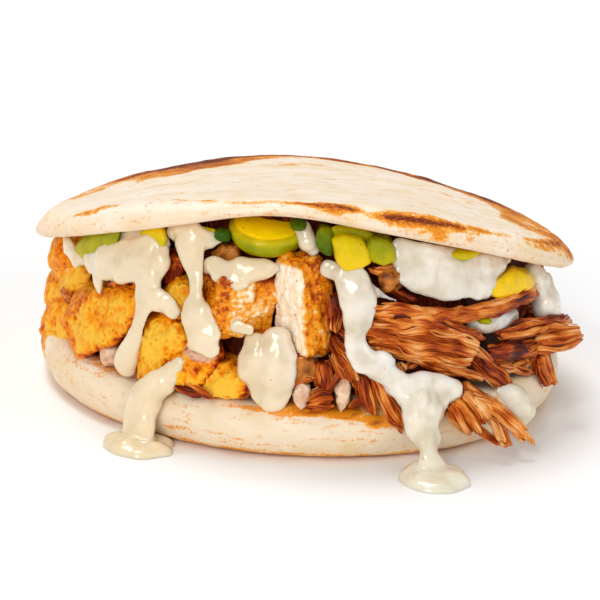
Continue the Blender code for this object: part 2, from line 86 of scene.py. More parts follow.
def new_material(name, *carried):
    """A material, what adds a node to it, what fills the inputs of its shader, and the outputs that
    give the values its mesh carries. The grain is a place in millimetres, so a pattern's scale on it
    is one over the pattern's size in millimetres. Each other value is a number."""
    material = bpy.data.materials.new(name)
    material.use_nodes = True
    add = partial(add_node, material.node_tree)
    shade = partial(fill, material.node_tree, material.node_tree.nodes["Principled BSDF"])
    outs = {"grain": "Vector"}
    values = [add("Attribute", out=outs.get(key, "Fac"), attribute_name=key) for key in carried]
    return material, add, shade, *values


def painted(add, under, colour, value, low, high, most=1.0):
    """A colour over what is under it: none where the value is low, rising to most where it is high."""
    share = add("MapRange", {"Value": value, "From Min": low, "From Max": high, "To Max": most})
    return add("Mix", {0: share, 6: under, 7: colour}, out=2, data_type="RGBA")


def summed(add, start, *shares):
    """The start, plus each value times its share."""
    for value, share in shares:
        start = add("Math", {0: value, 1: share, 2: start}, operation="MULTIPLY_ADD")
    return start


def lattice_value(cell, seed):
    """A fixed number from -1 to 1 for each whole-number place, by multiplying and shifting it."""
    mixed = cell[..., 0] * 374761393 + cell[..., 1] * 668265263 + cell[..., 2] * 1103515245
    mixed = (mixed + seed * 69069 + 12345) & 0xFFFFFFFF
    mixed = ((mixed ^ (mixed >> 13)) * 1274126177) & 0xFFFFFFFF
    return (mixed ^ (mixed >> 16)) / 2147483648.0 - 1.0


def noise(points, seed=0):
    """Smooth noise from -1 to 1: the lattice's numbers blended by 3t^2 - 2t^3 along each axis."""
    cell = np.floor(points).astype(np.int64)
    part = points - cell
    part = part * part * (3.0 - 2.0 * part)
    total = 0.0
    for corner in np.ndindex(2, 2, 2):
        corner = np.array(corner)
        share = np.where(corner == 1, part, 1.0 - part).prod(axis=-1)
        total = total + share * lattice_value(cell + corner, seed)
    return total


def rough(points, octaves, seed):
    """Noise summed over octaves, each twice as fine and half as high as the one before."""
    return sum(noise(points * 2.0**k, seed + k) * 0.5**k for k in range(octaves))


def smooth(value, low, high):
    """0 below low, 1 above high, and 3t^2 - 2t^3 in between."""
    t = np.clip((value - low) / (high - low), 0.0, 1.0)
    return t * t * (3.0 - 2.0 * t)


def cubic(a, b, c, d, t):
    """From b to c as t goes from 0 to 1, by a cubic whose end slopes are (c - a) / 2 and (d - b) / 2."""
    return 0.5 * (2 * b + (c - a) * t + (2 * a - 5 * b + 4 * c - d) * t**2 + (3 * b - a - 3 * c + d) * t**3)


def curve(points, count):
    """A smooth line through the points, one cubic between each two."""
    points = np.asarray(points, float)
    padded = np.vstack([2 * points[:1] - points[1:2], points, 2 * points[-1:] - points[-2:-1]])
    place = np.linspace(0, len(points) - 1.000001, count)
    i = place.astype(int)
    return cubic(*(padded[i + k] for k in range(4)), (place - i)[:, None])


def spread(*parts):
    """Points from their coordinates, each spread over the same grid."""
    return np.stack(np.broadcast_arrays(*parts), axis=-1)


def unit(vectors):
    """The vectors divided by their lengths."""
    return vectors / (np.linalg.norm(vectors, axis=-1, keepdims=True) + 1e-9)


def raised(rings, height):
    """Closed rings moved out by a height, along the cross product of the steps along and around them."""
    around = np.roll(rings, -1, axis=1) - np.roll(rings, 1, axis=1)
    normal = unit(np.cross(around, np.gradient(rings, axis=0)))
    if (normal * (rings - rings.mean(axis=(0, 1)))).sum() <= 0:
        normal = -normal
    return rings + normal * height[..., None]


def closed_mesh(name, parts, material):
    """One mesh from closed skins. Each part is its rings, from end to end, and the values that its
    points carry. Quads join ring to ring, and a fan closes each end on the ring's middle."""
    points, corners, starts, marks = [], [], [], {}
    first, loop = 0, 0
    for rings, values in parts:
        n, m = rings.shape[:2]
        index = first + np.arange(n * m).reshape(n, m)
        after = np.roll(index, -1, axis=1)
        tip = first + n * m
        quads = spread(index[:-1], after[:-1], after[1:], index[1:]).reshape(-1, 4)
        fans = np.concatenate([spread(tip, after[0], index[0]), spread(tip + 1, index[-1], after[-1])])
        place = np.vstack([rings.reshape(-1, 3), rings[0].mean(axis=0), rings[-1].mean(axis=0)])
        local = place - place.mean(axis=0)
        a, b, c, d = (local[quads[:, k] - first] for k in range(4))
        if (a * (np.cross(b, c) + np.cross(c, d))).sum() < 0:
            quads, fans = quads[:, ::-1], fans[:, ::-1]
        points.append(place)
        corners += [quads.ravel(), fans.ravel()]
        starts += [loop + 4 * np.arange(len(quads)), loop + quads.size + 3 * np.arange(len(fans))]
        loop += quads.size + fans.size
        first += len(place)
        for key, value in values.items():
            ends = [value[0].mean(axis=0, keepdims=True), value[-1].mean(axis=0, keepdims=True)]
            marks.setdefault(key, []).append(np.concatenate([value.reshape(-1, *value.shape[2:]), *ends]))
    mesh = bpy.data.meshes.new(name)
    mesh.vertices.add(first)
    mesh.vertices.foreach_set("co", np.vstack(points).ravel() * MM)
    mesh.loops.add(loop)
    mesh.loops.foreach_set("vertex_index", np.concatenate(corners))
    starts = np.concatenate(starts)
    mesh.polygons.add(len(starts))
    mesh.polygons.foreach_set("loop_start", starts)
    mesh.update(calc_edges=True)
    for key, value in marks.items():
        value = np.concatenate(value)
        kind, field = ("FLOAT_VECTOR", "vector") if value.ndim == 2 else ("FLOAT", "value")
        layer = mesh.attributes.new(key, kind, "POINT")
        layer.data.foreach_set(field, value.astype(np.float32).ravel())
    mesh.shade_smooth()
    mesh.materials.append(material)
    piece = bpy.data.objects.new(name, mesh)
    bpy.context.scene.collection.objects.link(piece)
    return piece


def serve(piece, slot, *nodes):
    """The piece rides on the arepa's one body and stands for the nodes, which are hidden. The slot is not
    used.
    """
    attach(piece, "root")
    if nodes:
        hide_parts(*nodes)


def turned(profile, count):
    """Rings round the upright axis from radius and height, as uneven as a round shaped by hand."""
    angle = np.linspace(-math.pi, math.pi, count, endpoint=False)
    radius = profile[:, :1] * (1.0 + 0.004 * np.sin(3 * angle + 0.6) + 0.003 * np.sin(5 * angle))
    return spread(radius * np.cos(angle), radius * np.sin(angle), profile[:, 1:]), angle


def smears(across, up, strokes):
    """Strength of soft smears: each is (across, up, half width, half height, strength)."""
    total = np.zeros(across.shape)
    for x, z, wide, high, strength in strokes:
        spot = strength * np.exp(-(((across - x) / wide) ** 2) - ((up - z) / high) ** 2)
        total = np.maximum(total, spot)
    return total


LOWER_CENTRE = (0.8, 0.4, 0.0)
LOWER_FACE = 11.9
LOWER_SIDE = [(53, 0), (56.3, 1.1), (58.1, 3.4), (59, 6.2), (58.7, 8.8), (57.4, 11), (55.6, 12), (52, 12.1)]
LOWER_STAINS = [
    (-8, 11, 6, 0.5, 1), (-2.5, 10.7, 2.2, 0.8, 1.2), (5, 11.6, 5, 0.8, 1.2), (10, 10.8, 3.5, 0.9, 1.1),
    (15.5, 9.7, 4, 1.1, 1), (20.5, 8.2, 3, 1.1, 0.8), (-20, 12.4, 6, 0.9, 0.9), (-40, 12, 6, 0.8, 0.9),
    (-31, 12.3, 4, 0.7, 0.8), (-47, 10.2, 5, 0.8, 0.5), (38, 9.5, 8, 2.5, 0.45), (-24, 4.5, 4, 1.2, 0.4),
    (-12, 3.5, 6, 1, 0.4), (12, 5.5, 8, 0.9, 0.4),
]
LOWER_TOAST = [
    (-58.5, 8.5, 2.5, 3.5, 0.9), (-55, 12, 3, 1, 0.6), (0, 11.5, 3, 0.8, 0.7), (4.5, 11.4, 4.5, 0.9, 1.5),
    (11, 10.7, 3.5, 1, 1.5), (17.5, 9.2, 2.5, 1.1, 1.1),
]
BROWNED = [(0.0, "#F6DEB8"), (1.0, "#702804"), (0.22, "#F4B860"), (0.48, "#EC9424"), (0.78, "#C0600C")]


def bread_material(name, dough):
    """Griddled white corn dough: matte, cream, faintly mottled, with toast, stains and a darker rim by
    attribute. The rim's tan is partly crust colour and partly painted shade, and on the lower half
    the toast also holds painted shade along the bottom.
    """
    material, add, shade, toast, stain, rim = new_material(name, "toast", "stain", "rim")
    place = add("TexCoord", out="Object")
    patches = add("TexNoise", {"Vector": place, "Scale": 1 / (9 * MM), "Detail": 4.0})
    stretched = add("Mapping", {"Vector": place, "Scale": (0.45, 1.0, 2.2)})
    grain = add("TexNoise", {"Vector": stretched, "Scale": 1 / (2.2 * MM), "Detail": 6.0})
    fine = add("TexNoise", {"Vector": place, "Scale": 1 / (0.7 * MM), "Detail": 5.0, "Roughness": 0.7})
    both = add("Math", {0: fine, 1: grain}, operation="ADD")
    uneven = add("Math", {0: both, 1: 1.0}, operation="SUBTRACT")
    colour = painted(add, add("ValToRGB", {"Fac": patches}, stops=dough), "#EFCB8C", grain, 0.56, 0.78, 0.55)
    # Tan on the rim: partly crust colour, partly painted shade on the rim that the front lamp lights.
    colour = add("Mix", {0: rim, 6: colour, 7: "#E2BE8C"}, out=2, data_type="RGBA")
    where = add("MapRange", {"Value": toast, "From Min": 0.02, "From Max": 0.30})
    heat = {0: summed(add, toast, (uneven, 1.5)), 1: where}
    heat = add("Math", heat, operation="MULTIPLY", use_clamp=True)
    colour = painted(add, colour, add("ValToRGB", {"Fac": heat}, stops=BROWNED), heat, 0.05, 0.30)
    soaked = summed(add, stain, (uneven, 2.2))
    wet = add("MapRange", {"Value": soaked, "From Min": 0.25, "From Max": 0.75, "To Max": 0.9})
    colour = add("Mix", {0: wet, 6: colour, 7: "#EA9018"}, out=2, data_type="RGBA")
    specks = add("TexVoronoi", {"Vector": place, "Scale": 1 / (6.5 * MM)})
    colour = painted(add, colour, "#6B5238", summed(add, specks, (fine, 0.16)), 0.145, 0.115, 0.6)
    gloss = add("MapRange", {"Value": wet, "To Min": 0.62, "To Max": 0.35})
    relief = add("Bump", {"Height": both, "Strength": 0.35, "Distance": 0.25 * MM})
    shade({"Base Color": colour, "Roughness": gloss, "Specular IOR Level": 0.2, "Normal": relief})
    return material


bottom, face = spread(np.linspace(3, 51, 8), 0), spread(np.linspace(50, 3, 10), LOWER_FACE)
profile = np.vstack([bottom, curve(LOWER_SIDE, 60), face])
rings, angle = turned(profile, 420)
side = smooth(profile[:, :1], 48, 54) * smooth(profile[:, 1:], 0.0, 2.5)
dents = 0.35 * rough(rings / 11.0, 3, 4) + 0.10 * rough(rings / 2.2, 3, 9)
lip = 0.5 * noise(rings * (0.13, 0.13, 0.0), 3) * smooth(profile[:, 1:], 9.0, 12.0)
rings = raised(rings, side * (dents - 0.15))
rings[..., 2] += lip
rings += LOWER_CENTRE
across, height = rings[..., 0], rings[..., 2]
in_front = smooth(-rings[..., 1], -2.0, 12.0)
stain = smears(across, height, LOWER_STAINS) * in_front
stain = np.maximum(stain, 0.5 * (1.0 - in_front) * smooth(height, 10.5, 12.5) * side)
toast = smears(across, height, LOWER_TOAST) * in_front
# Darker towards the bottom: griddle browning, and painted shade where the bread meets the table.
toast = np.maximum(toast, 0.14 * smooth(height, 5.5, 2.0) + 0.30 * smooth(height, 2.4, 0.4))
# The lower half's dough is a darker copy of the upper half's: painted shade for its brightly lit front.
dough_darkened_as_shade = bread_material("corn dough", [(0.30, "#E6CB9E"), (0.72, "#F1E0C8"), (0.50, "#ECD8BA")])
skin = (rings, {"toast": toast, "stain": stain})
serve(closed_mesh("lower_half", [skin], dough_darkened_as_shade), "bread", "bread_lower")

# Packed filling behind the mouth
#
# Beef, chicken and sauce pressed together between the halves. Its colour is painted very dark, as
# the deep, wet shade between the pieces in the mouth, and it is a shredded, knobbly wall round the
# sides and the back.

LOWER_TOP = 11.8
PACKED_REACH, PACKED_REACH_BACK = 49.0, 54.5
MOUTH_ENDS = (68.0, 96.0)  # degrees from the middle of the mouth between which the wall moves out
UPPER_RADIUS = 60.3
UPPER_THICKNESS = 5.5
UPPER_CENTRE = (0.5, 0.5, 47.3)
UPPER_TILT = math.radians(8.7)
UPPER_DROOP = 11.6


def upper_place(x, y, z):
    """The flat upper half's points, sunk by droop * (x / radius)^2, tipped about X and set in place."""
    z = z - UPPER_DROOP * (x / UPPER_RADIUS) ** 2
    up, back = math.cos(UPPER_TILT), math.sin(UPPER_TILT)
    return UPPER_CENTRE + spread(x, y * up + z * back, -y * back + z * up)


def underside(x, y):
    """The upper half's thickness below its face, less a rise over the avocado at the mouth."""
    lift = 2.2 * np.exp(-(((x + 6.0) / 17.0) ** 2))
    return -UPPER_THICKNESS + lift * smooth(-y, 20.0, 50.0)


def meat_material(name, stops, shine, fibre, along, tone_share, coat):
    """Cooked shredded meat, moist: fine fibres along each piece, pits dark and ridges light as painted shade
    and light.
    """
    material, add, shade, grain, tone = new_material(name, "grain", "tone")
    stretched = add("Mapping", {"Vector": grain, "Scale": (1 / fibre, 1 / fibre, 1 / along)})
    threads = add("TexNoise", {"Vector": stretched, "Scale": 1.0, "Detail": 4.0})
    patches = add("TexNoise", {"Vector": grain, "Scale": 0.35, "Detail": 3.0})
    # The colour follows the threads that also make the relief: painted shade in the pits, painted light on
    # the ridges.
    level = summed(add, -0.26, (threads, 0.9), (patches, 0.50), (tone, tone_share))
    colour = add("ValToRGB", {"Fac": level}, stops=stops)
    relief = add("Bump", {"Height": threads, "Strength": 1.0, "Distance": 0.32 * MM})
    shade({"Base Color": colour, "Roughness": shine, "Specular IOR Level": 0.05})
    shade({"Coat Weight": coat, "Coat Roughness": 0.06, "Normal": relief, "Coat Normal": relief})
    return material


def nearest_spot(points, seed):
    """Distance to the nearest of a field of spots, one placed at random in each unit cell."""
    cell = np.floor(points).astype(np.int64)
    best = np.full(points.shape[:-1], 9.0)
    for offset in np.ndindex(3, 3, 3):
        near = cell + np.array(offset) - 1
        shift = spread(*(lattice_value(near, seed + k) for k in range(3)))
        best = np.minimum(best, ((points - near - 0.5 - 0.42 * shift) ** 2).sum(axis=-1))
    return np.sqrt(best)


def drift(points, seed):
    """Three noises at each point, one for each axis."""
    return spread(*(noise(points, seed + k) for k in range(3)))


def packed_rings(levels, sides):
    """The filling's wall: reach grows from the mouth to the sides, and its height from bread to bread."""
    level = np.linspace(0, 1, levels)[:, None]
    angle = np.linspace(-math.pi, math.pi, sides, endpoint=False)[None]
    from_mouth = np.degrees(np.abs(np.arctan2(np.cos(angle), -np.sin(angle))))
    back = smooth(from_mouth, *MOUTH_ENDS)
    reach = PACKED_REACH + (PACKED_REACH_BACK - PACKED_REACH) * back
    reach = reach * (1.0 - 0.05 * (2.0 * level - 1.0) ** 2 * back)
    x, y = reach * np.cos(angle), reach * np.sin(angle)
    top = upper_place(x, y, underside(x, y))[..., 2]
    return spread(x, y, LOWER_TOP + (top - LOWER_TOP) * level), back * np.ones_like(level)


rings, back = packed_rings(90, 520)
bend = rings / 5.0 + 0.8 * drift(rings / 6.0, 21)
ridges = 1.0 - 2.0 * np.abs(noise(bend * (1.0, 1.0, 2.6), 5))
knobs = 0.55 - nearest_spot(rings / 5.5, 8)
height = (0.8 * ridges + 2.0 * knobs) * (0.35 + 0.65 * back) + 0.25 * rough(rings / 1.2, 2, 6)
# The tone follows the relief, lighter on knobs and darker in hollows, and is 0.2 lower at the mouth: painted
# light and shade.
marks = {"grain": bend * 5.0, "tone": np.clip(0.35 * height - 0.2 * (1 - back), -1, 1)}
# Very dark colours that paint the shade between the pieces.
PACKED_AND_PAINTED_SHADE = [(0.15, "#2C0A02"), (0.95, "#E09040"), (0.42, "#66200A"), (0.68, "#A44C18")]
packed = meat_material("packed beef and sauce", PACKED_AND_PAINTED_SHADE, 0.55, 0.9, 4.0, 0.35, 0.05)
piece = closed_mesh("packed_filling", [(raised(rings, height - 0.6), marks)], packed)
serve(piece, "packed_filling", "filling_core")

# Fried chicken
#
# Bite-sized pieces of chicken in a seasoned batter, fried golden. The crust is knobbly and a little
# oily, painted pale gold on its bumps and deep orange in the creases between them as painted light
# and shade.


def at(across, height, reach):
    """The point at the mouth with this across, height and distance from the bread's middle."""
    return np.array([across, -math.sqrt(reach * reach - across * across), height])


def turns(count):
    """Angles all the way round, in one row."""
    return np.linspace(0, 2 * math.pi, count, endpoint=False)[None]


def lump(size, square, count, seed):
    """A rounded block: directions on a sphere, divided by (|x|^p + |y|^p + |z|^p)^(1/p), times half
    the size, and swollen unevenly. It returns rings from bottom to top."""
    rise = np.linspace(-math.pi / 2, math.pi / 2, count // 2 + 1)[1:-1, None]
    turn = turns(count)
    way = spread(np.cos(rise) * np.cos(turn), np.cos(rise) * np.sin(turn), np.sin(rise))
    way /= (np.abs(way) ** square).sum(axis=-1, keepdims=True) ** (1 / square)
    swell = 1.0 + 0.10 * noise(way * 1.3 + seed * 1.7, seed)[..., None]
    return way * swell * np.asarray(size, float) / 2


def placed(rings, place, lean=0.0, turn=0.0):
    """Rings leant in the mouth's plane, turned about the upright, and moved to their place."""
    rotation = Matrix.Rotation(math.radians(turn), 3, "Z") @ Matrix.Rotation(math.radians(-lean), 3, "Y")
    return rings @ np.array(rotation).T + place


def nugget(corners, rim, front, back, square, count, soft, slant=0.0):
    """A lump with a given outline at the mouth, straight from corner to corner and eased towards a
    cubic by soft. Each ring is the outline times sin(t) and stands cos(t) of its depth before or
    behind the rim, and both are divided by (|sin|^p + |cos|^p)^(1/p). The whole follows the round of
    the bread, and slant tips its top back. It returns the rings and their share of full size."""
    corners = np.asarray(corners, float)
    place = np.linspace(0, len(corners), count, endpoint=False)
    i = place.astype(int)
    t = (place - i)[:, None]
    a, b, c, d = (corners[(i + k) % len(corners)] for k in (-1, 0, 1, 2))
    edge = cubic(a, b, c, d, t) * soft + (b + (c - b) * t) * (1 - soft)
    middle = edge.mean(axis=0)
    t = np.linspace(0, math.pi, count // 2 + 1)[1:-1, None]
    size = (np.abs(np.cos(t)) ** square + np.abs(np.sin(t)) ** square) ** (1 / square)
    share, out = np.sin(t) / size, np.cos(t) / size
    across, up = ((edge[:, k] - middle[k]) * share for k in (0, 1))
    at_middle = math.sqrt(max(rim**2 - middle[0] ** 2, 100.0))
    follow = np.clip(middle[0] / at_middle, -1.2, 1.2)
    deep = -at_middle + follow * across + slant * up - np.where(out > 0, front, back) * out
    return spread(middle[0] + across, deep, middle[1] + up), np.minimum(share / 0.9, 1)


def battered(rings, seed):
    """Batter over a lump: low waves, ridges 3 mm apart with folds between, and grains under 1 mm."""
    shift = seed * 13.7
    bent = rings + 0.8 * drift(rings / 2.2 + shift, seed + 11)
    waves = noise(rings / 4.5 + shift, seed)
    ridges = 0.45 - np.abs(noise(bent / 2.4 + shift, seed + 3))
    folds = 0.45 - np.abs(noise(bent / 1.1 + shift, seed + 4))
    grains = rough(rings / 0.62 + shift, 2, seed + 5)
    height = 0.65 * waves + 0.55 * ridges + 0.32 * folds + 0.12 * grains
    # The tone follows the relief: painted light where the batter stands up, painted shade where it sinks.
    tone = ridges + 0.8 * folds + 0.35 * waves + 0.30 * grains
    return raised(rings, height), {"grain": rings + shift, "tone": np.clip(tone, -1, 1)}


GOLDEN = [(0.18, "#7A2200"), (1.0, "#FFC438"), (0.38, "#CC5200"), (0.54, "#F08000"), (0.74, "#FFA000")]


def batter_material(name):
    """Fried batter: gold, deep orange in its creases as painted shade, a few burnt specks, oily gloss."""
    material, add, shade, grain, tone, film = new_material(name, "grain", "tone", "film")
    patches = add("TexNoise", {"Vector": grain, "Scale": 0.16, "Detail": 3.0})
    crumbs = add("TexNoise", {"Vector": grain, "Scale": 1.2, "Detail": 6.0, "Roughness": 0.72})
    specks = add("TexVoronoi", {"Vector": grain, "Scale": 0.42})
    level = summed(add, -0.07, (patches, 0.7), (tone, 0.40), (crumbs, 0.95))
    colour = add("ValToRGB", {"Fac": level}, stops=GOLDEN)
    colour = painted(add, colour, "#9A3E0C", specks, 0.16, 0.06, 0.7)
    colour = painted(add, colour, "#EBC4A6", summed(add, film, (crumbs, 0.8)), 0.85, 1.15, 0.85)
    relief = add("Bump", {"Height": crumbs, "Strength": 1.0, "Distance": 0.45 * MM})
    shade({"Base Color": colour, "Roughness": 0.36, "Specular IOR Level": 0.10, "Normal": relief})
    shade({"Coat Weight": 0.10, "Coat Roughness": 0.15})
    return material


batter = batter_material("fried batter")
# Node, rim, depth before and behind it, squareness, count, slant, how much darker, outline
FRIED = [
    ("fried_large", 54, 4.6, 11, 3.2, 230, 0.05, 0, [
        (-51.5, 17), (-49.5, 21.5), (-47, 25.5), (-43, 28), (-39.5, 29.5), (-36, 31.5), (-33.5, 31),
        (-32.5, 28.5), (-33.5, 25), (-36.5, 20.5), (-41, 16), (-45.5, 12), (-48, 11.5), (-49.5, 14),
    ]),
    ("fried_middle", 54.5, 4.6, 11, 3, 200, 0.12, 0, [
        (-33.5, 18), (-32.5, 23), (-30.5, 26.5), (-27, 28.5), (-24.5, 27.5), (-22.5, 24.5), (-22.5, 21.5),
        (-26.5, 17.5), (-28, 14.5), (-30.5, 11), (-33, 12),
    ]),
    ("fried_middle_upper", 53.5, 3.5, 8, 2.8, 130, 0.1, 0, [
        (-29, 30), (-27.5, 33), (-25.5, 35.5), (-23.5, 35), (-21.5, 32), (-22.5, 29), (-24.5, 27),
        (-28, 27),
    ]),
    ("fried_bit_high", 52.5, 2.6, 8, 2.6, 100, 0.1, 1.3, [
        (-29.5, 37.5), (-27.5, 40), (-25, 40), (-24, 37.5), (-25, 34), (-28, 34),
    ]),
    ("fried_low", 55.5, 3.6, 12, 2.6, 160, 0.2, 0.4, [
        (-28, 16), (-25.5, 19.5), (-22, 22.5), (-18, 23.5), (-15.5, 22), (-16, 18), (-19, 14.5),
        (-22.5, 13), (-26.5, 13.2),
    ]),
    ("fried_low_right", 55.5, 3.2, 12, 2.6, 150, 0.2, 0, [
        (-19.5, 16.5), (-17, 19.5), (-13.5, 20), (-10.5, 18.5), (-8.7, 16), (-9.5, 13.4), (-14.5, 12.6),
        (-18.5, 13),
    ]),
    ("fried_peak", 52.8, 3.2, 9, 2.6, 110, 0.1, 1.1, [
        (-41, 30.5), (-39.8, 33.2), (-37, 34.5), (-34, 34), (-33.2, 31), (-34.5, 28), (-38.5, 27),
    ]),
    ("fried_edge_upper", 52.5, 3, 11, 2.6, 170, 0.1, -0.15, [
        (-56.8, 16.5), (-56.3, 21), (-53.5, 27.5), (-50.5, 31.5), (-47, 31), (-45.5, 28), (-46.5, 23),
        (-50, 17.5), (-54, 14.5),
    ]),
    ("fried_edge_lower", 54, 3, 12, 2.6, 160, 0.1, 0.05, [
        (-57.8, 10), (-57, 14), (-54.5, 19), (-51.5, 20), (-48.5, 17.5), (-46.5, 14), (-48.5, 10.2),
        (-54, 8.6),
    ]),
]
SAUCE_FILMS = [
    (-19.8, 21.4, 4.2, 1.9, 1.1), (-44, 30.5, 3.5, 1.6, 0.6), (-52, 27, 2, 2.5, 0.6),
    (-29, 28, 3, 1.2, 0.6),
]
MEAT_SHOWS = [(-29.8, 21.0, 2.0, 3.4, 1.1), (-15.5, 14.5, 3.5, 2.2, 1.5), (-44, 19, 3, 2, 0.4)]
for seed, (node, rim, front, back, square, count, slant, darker_and_painted_shade, corners) in enumerate(FRIED):
    rings, share = nugget(corners, rim, front, back, square, count, 0.6, slant)
    rings, marks = battered(rings, seed + 1)
    across, height = rings[..., 0], rings[..., 2]
    # Painted shade: each piece darker towards its lower right, away from the light, and round its outline.
    low_right_painted_shade = across - 0.8 * height
    low_right_painted_shade = smooth(low_right_painted_shade, *np.quantile(low_right_painted_shade, (0.70, 1.0)))
    darker_and_painted_shade = darker_and_painted_shade + 0.8 * low_right_painted_shade + 0.6 * smooth(share, 0.80, 1.0)
    marks["tone"] = marks["tone"] - darker_and_painted_shade + smears(across, height, MEAT_SHOWS)
    marks["film"] = smears(across, height, SAUCE_FILMS)
    serve(closed_mesh(f"{node}_batter", [(rings, marks)], batter), "fried_chicken", node)

# Grilled chicken
#
# White meat cut in blocks and seared: pale where the knife went, browned and peppered outside. The
# cut faces break in short thick fibres.


def seared(size, seed, count=200):
    """A cut block: flat faces, worn edges, and steps where the fibres broke."""
    rings = lump(size, 7.0, count, seed)
    shift = seed * 9.1
    steps = noise(rings * (0.5, 0.5, 0.28) + shift, seed)
    cracks = -np.exp(-((noise(rings / 3.0 + shift, seed + 2) / 0.10) ** 2))
    height = 0.60 * np.round(steps * 3) / 3 + 0.40 * cracks + 0.22 * rough(rings + shift, 3, seed + 4)
    return raised(rings, height), {"grain": rings + shift, "tone": np.clip(height, -1, 1)}


WHITE_MEAT = [(0.30, "#F4CE9C"), (0.70, "#FFF8EA"), (0.50, "#FEEACC")]
CRUST = [(0.30, "#F6BC60"), (1.0, "#A03C00"), (0.50, "#F2A224"), (0.72, "#EA8C04"), (0.90, "#D26400")]


def seared_material(name):
    """Seared white meat: cream inside, orange-brown crust by attribute, pepper, light gloss."""
    material, add, shade, grain, tone, crust = new_material(name, "grain", "tone", "crust")
    fibres = add("Mapping", {"Vector": grain, "Scale": (1.1, 1.1, 0.35)})
    threads = add("TexNoise", {"Vector": fibres, "Scale": 1.0, "Detail": 5.0})
    fine = add("TexNoise", {"Vector": grain, "Scale": 0.9, "Detail": 6.0, "Roughness": 0.65})
    specks = add("TexVoronoi", {"Vector": grain, "Scale": 0.50})
    heat = summed(add, -0.95, (fine, 1.8), (crust, 1.0), (tone, -0.30))
    colour = add("ValToRGB", {"Fac": threads}, stops=WHITE_MEAT)
    colour = painted(add, colour, add("ValToRGB", {"Fac": heat}, stops=CRUST), heat, 0.16, 0.52)
    colour = painted(add, colour, "#4A2A14", summed(add, specks, (fine, 0.75)), 0.47, 0.42, 0.85)
    relief = add("Bump", {"Height": fine, "Strength": 0.7, "Distance": 0.35 * MM})
    shade({"Base Color": colour, "Roughness": 0.45, "Specular IOR Level": 0.15, "Normal": relief})
    shade({"Coat Weight": 0.12, "Coat Roughness": 0.25})
    return material


seared_meat = seared_material("seared white meat")
GRILLED = [
    ("grilled_slab", (1, 33, 51.8), (9, 9, 21.5), 9, 42),
    ("grilled_cube", (-12.6, 32, 50.8), (14, 12.4, 14), -5, 25),
]
for seed, (node, place, size, lean, turn) in enumerate(GRILLED):
    rings, marks = seared(size, seed + 31)
    side, depth, up = (rings[..., k] / (size[k] / 2) for k in range(3))
    if node == "grilled_slab":
        crust = 0.85 * smooth(-depth, 0.70, 1.0) * smooth(side, -1.0, -0.6) + 0.75 * smooth(up, 0.80, 1.0)
        crust += 0.5 * smooth(side, 0.5, 1.0) + 0.30 * smooth(-up, 0.80, 1.0) - 0.25 * smooth(-side, 0.8, 1.0)
    else:
        crust = 0.40 * smooth(-side, 0.45, 0.80) + 0.6 * smooth(side, 0.80, 1.0)
        crust = crust + 0.55 * smooth(up, 0.50, 1.0)
        crust += 0.40 + 0.25 * smooth(side, -0.3, 0.6) + 0.25 * smooth(-up, 0.6, 1.0)
    marks["crust"] = np.clip(crust, -0.4, 1.0)
    skin = (placed(rings, at(*place), lean, turn), marks)
    serve(closed_mesh(f"{node}_seared", [skin], seared_meat), "grilled_chicken", node)

# Shredded beef
#
# Beef stewed until it falls into strands, then pulled apart. Each piece is a bundle of fibres, wet
# with gravy: painted dark brown in its grooves as shade, rust and orange on its ridges as painted
# light, frayed where it tore.

rng = np.random.default_rng(7)
SPARE = 0.12  # how far a bundle's path goes on past both ends, for strands that stick out
STRAND_STEP = 0.6
CORE_SIDES, STRAND_SIDES, FIBRE_SIDES = 18, 10, 6


def frame_along(path):
    """Unit vectors beside and outward at each point of a path round the filling."""
    ahead = unit(np.gradient(path, axis=0))
    beside = unit(np.cross(ahead, unit(path * (1.0, 1.0, 0.0))))
    return beside, np.cross(beside, ahead)


def tube(path, half, sides, flat):
    """Rings about a path: half * cos beside it and half * flat * sin outward."""
    beside, outward = frame_along(path)
    angle, half = turns(sides), half[:, None]
    circle = np.cos(angle)[..., None] * beside[:, None] + flat * np.sin(angle)[..., None] * outward[:, None]
    return path[:, None] + half[..., None] * circle, angle + 0 * half


def evenly(start, end, bow):
    """Three values that go evenly from start to end and past both, the middle of the second raised."""
    t = np.linspace(-SPARE, 1 + SPARE, 120)[:, None]
    first, height, last = (np.array(start, float) + (np.array(end, float) - start) * t).T
    return first, height + 4.0 * bow * t[:, 0] * (1.0 - t[:, 0]), last


def across_mouth(start, end, bow=0.0):
    """A path at the mouth, from across, height and reach at its start to those at its end."""
    across, height, reach = evenly(start, end, bow)
    return spread(across, -np.sqrt(np.maximum(reach**2 - across**2, 1.0)), height)


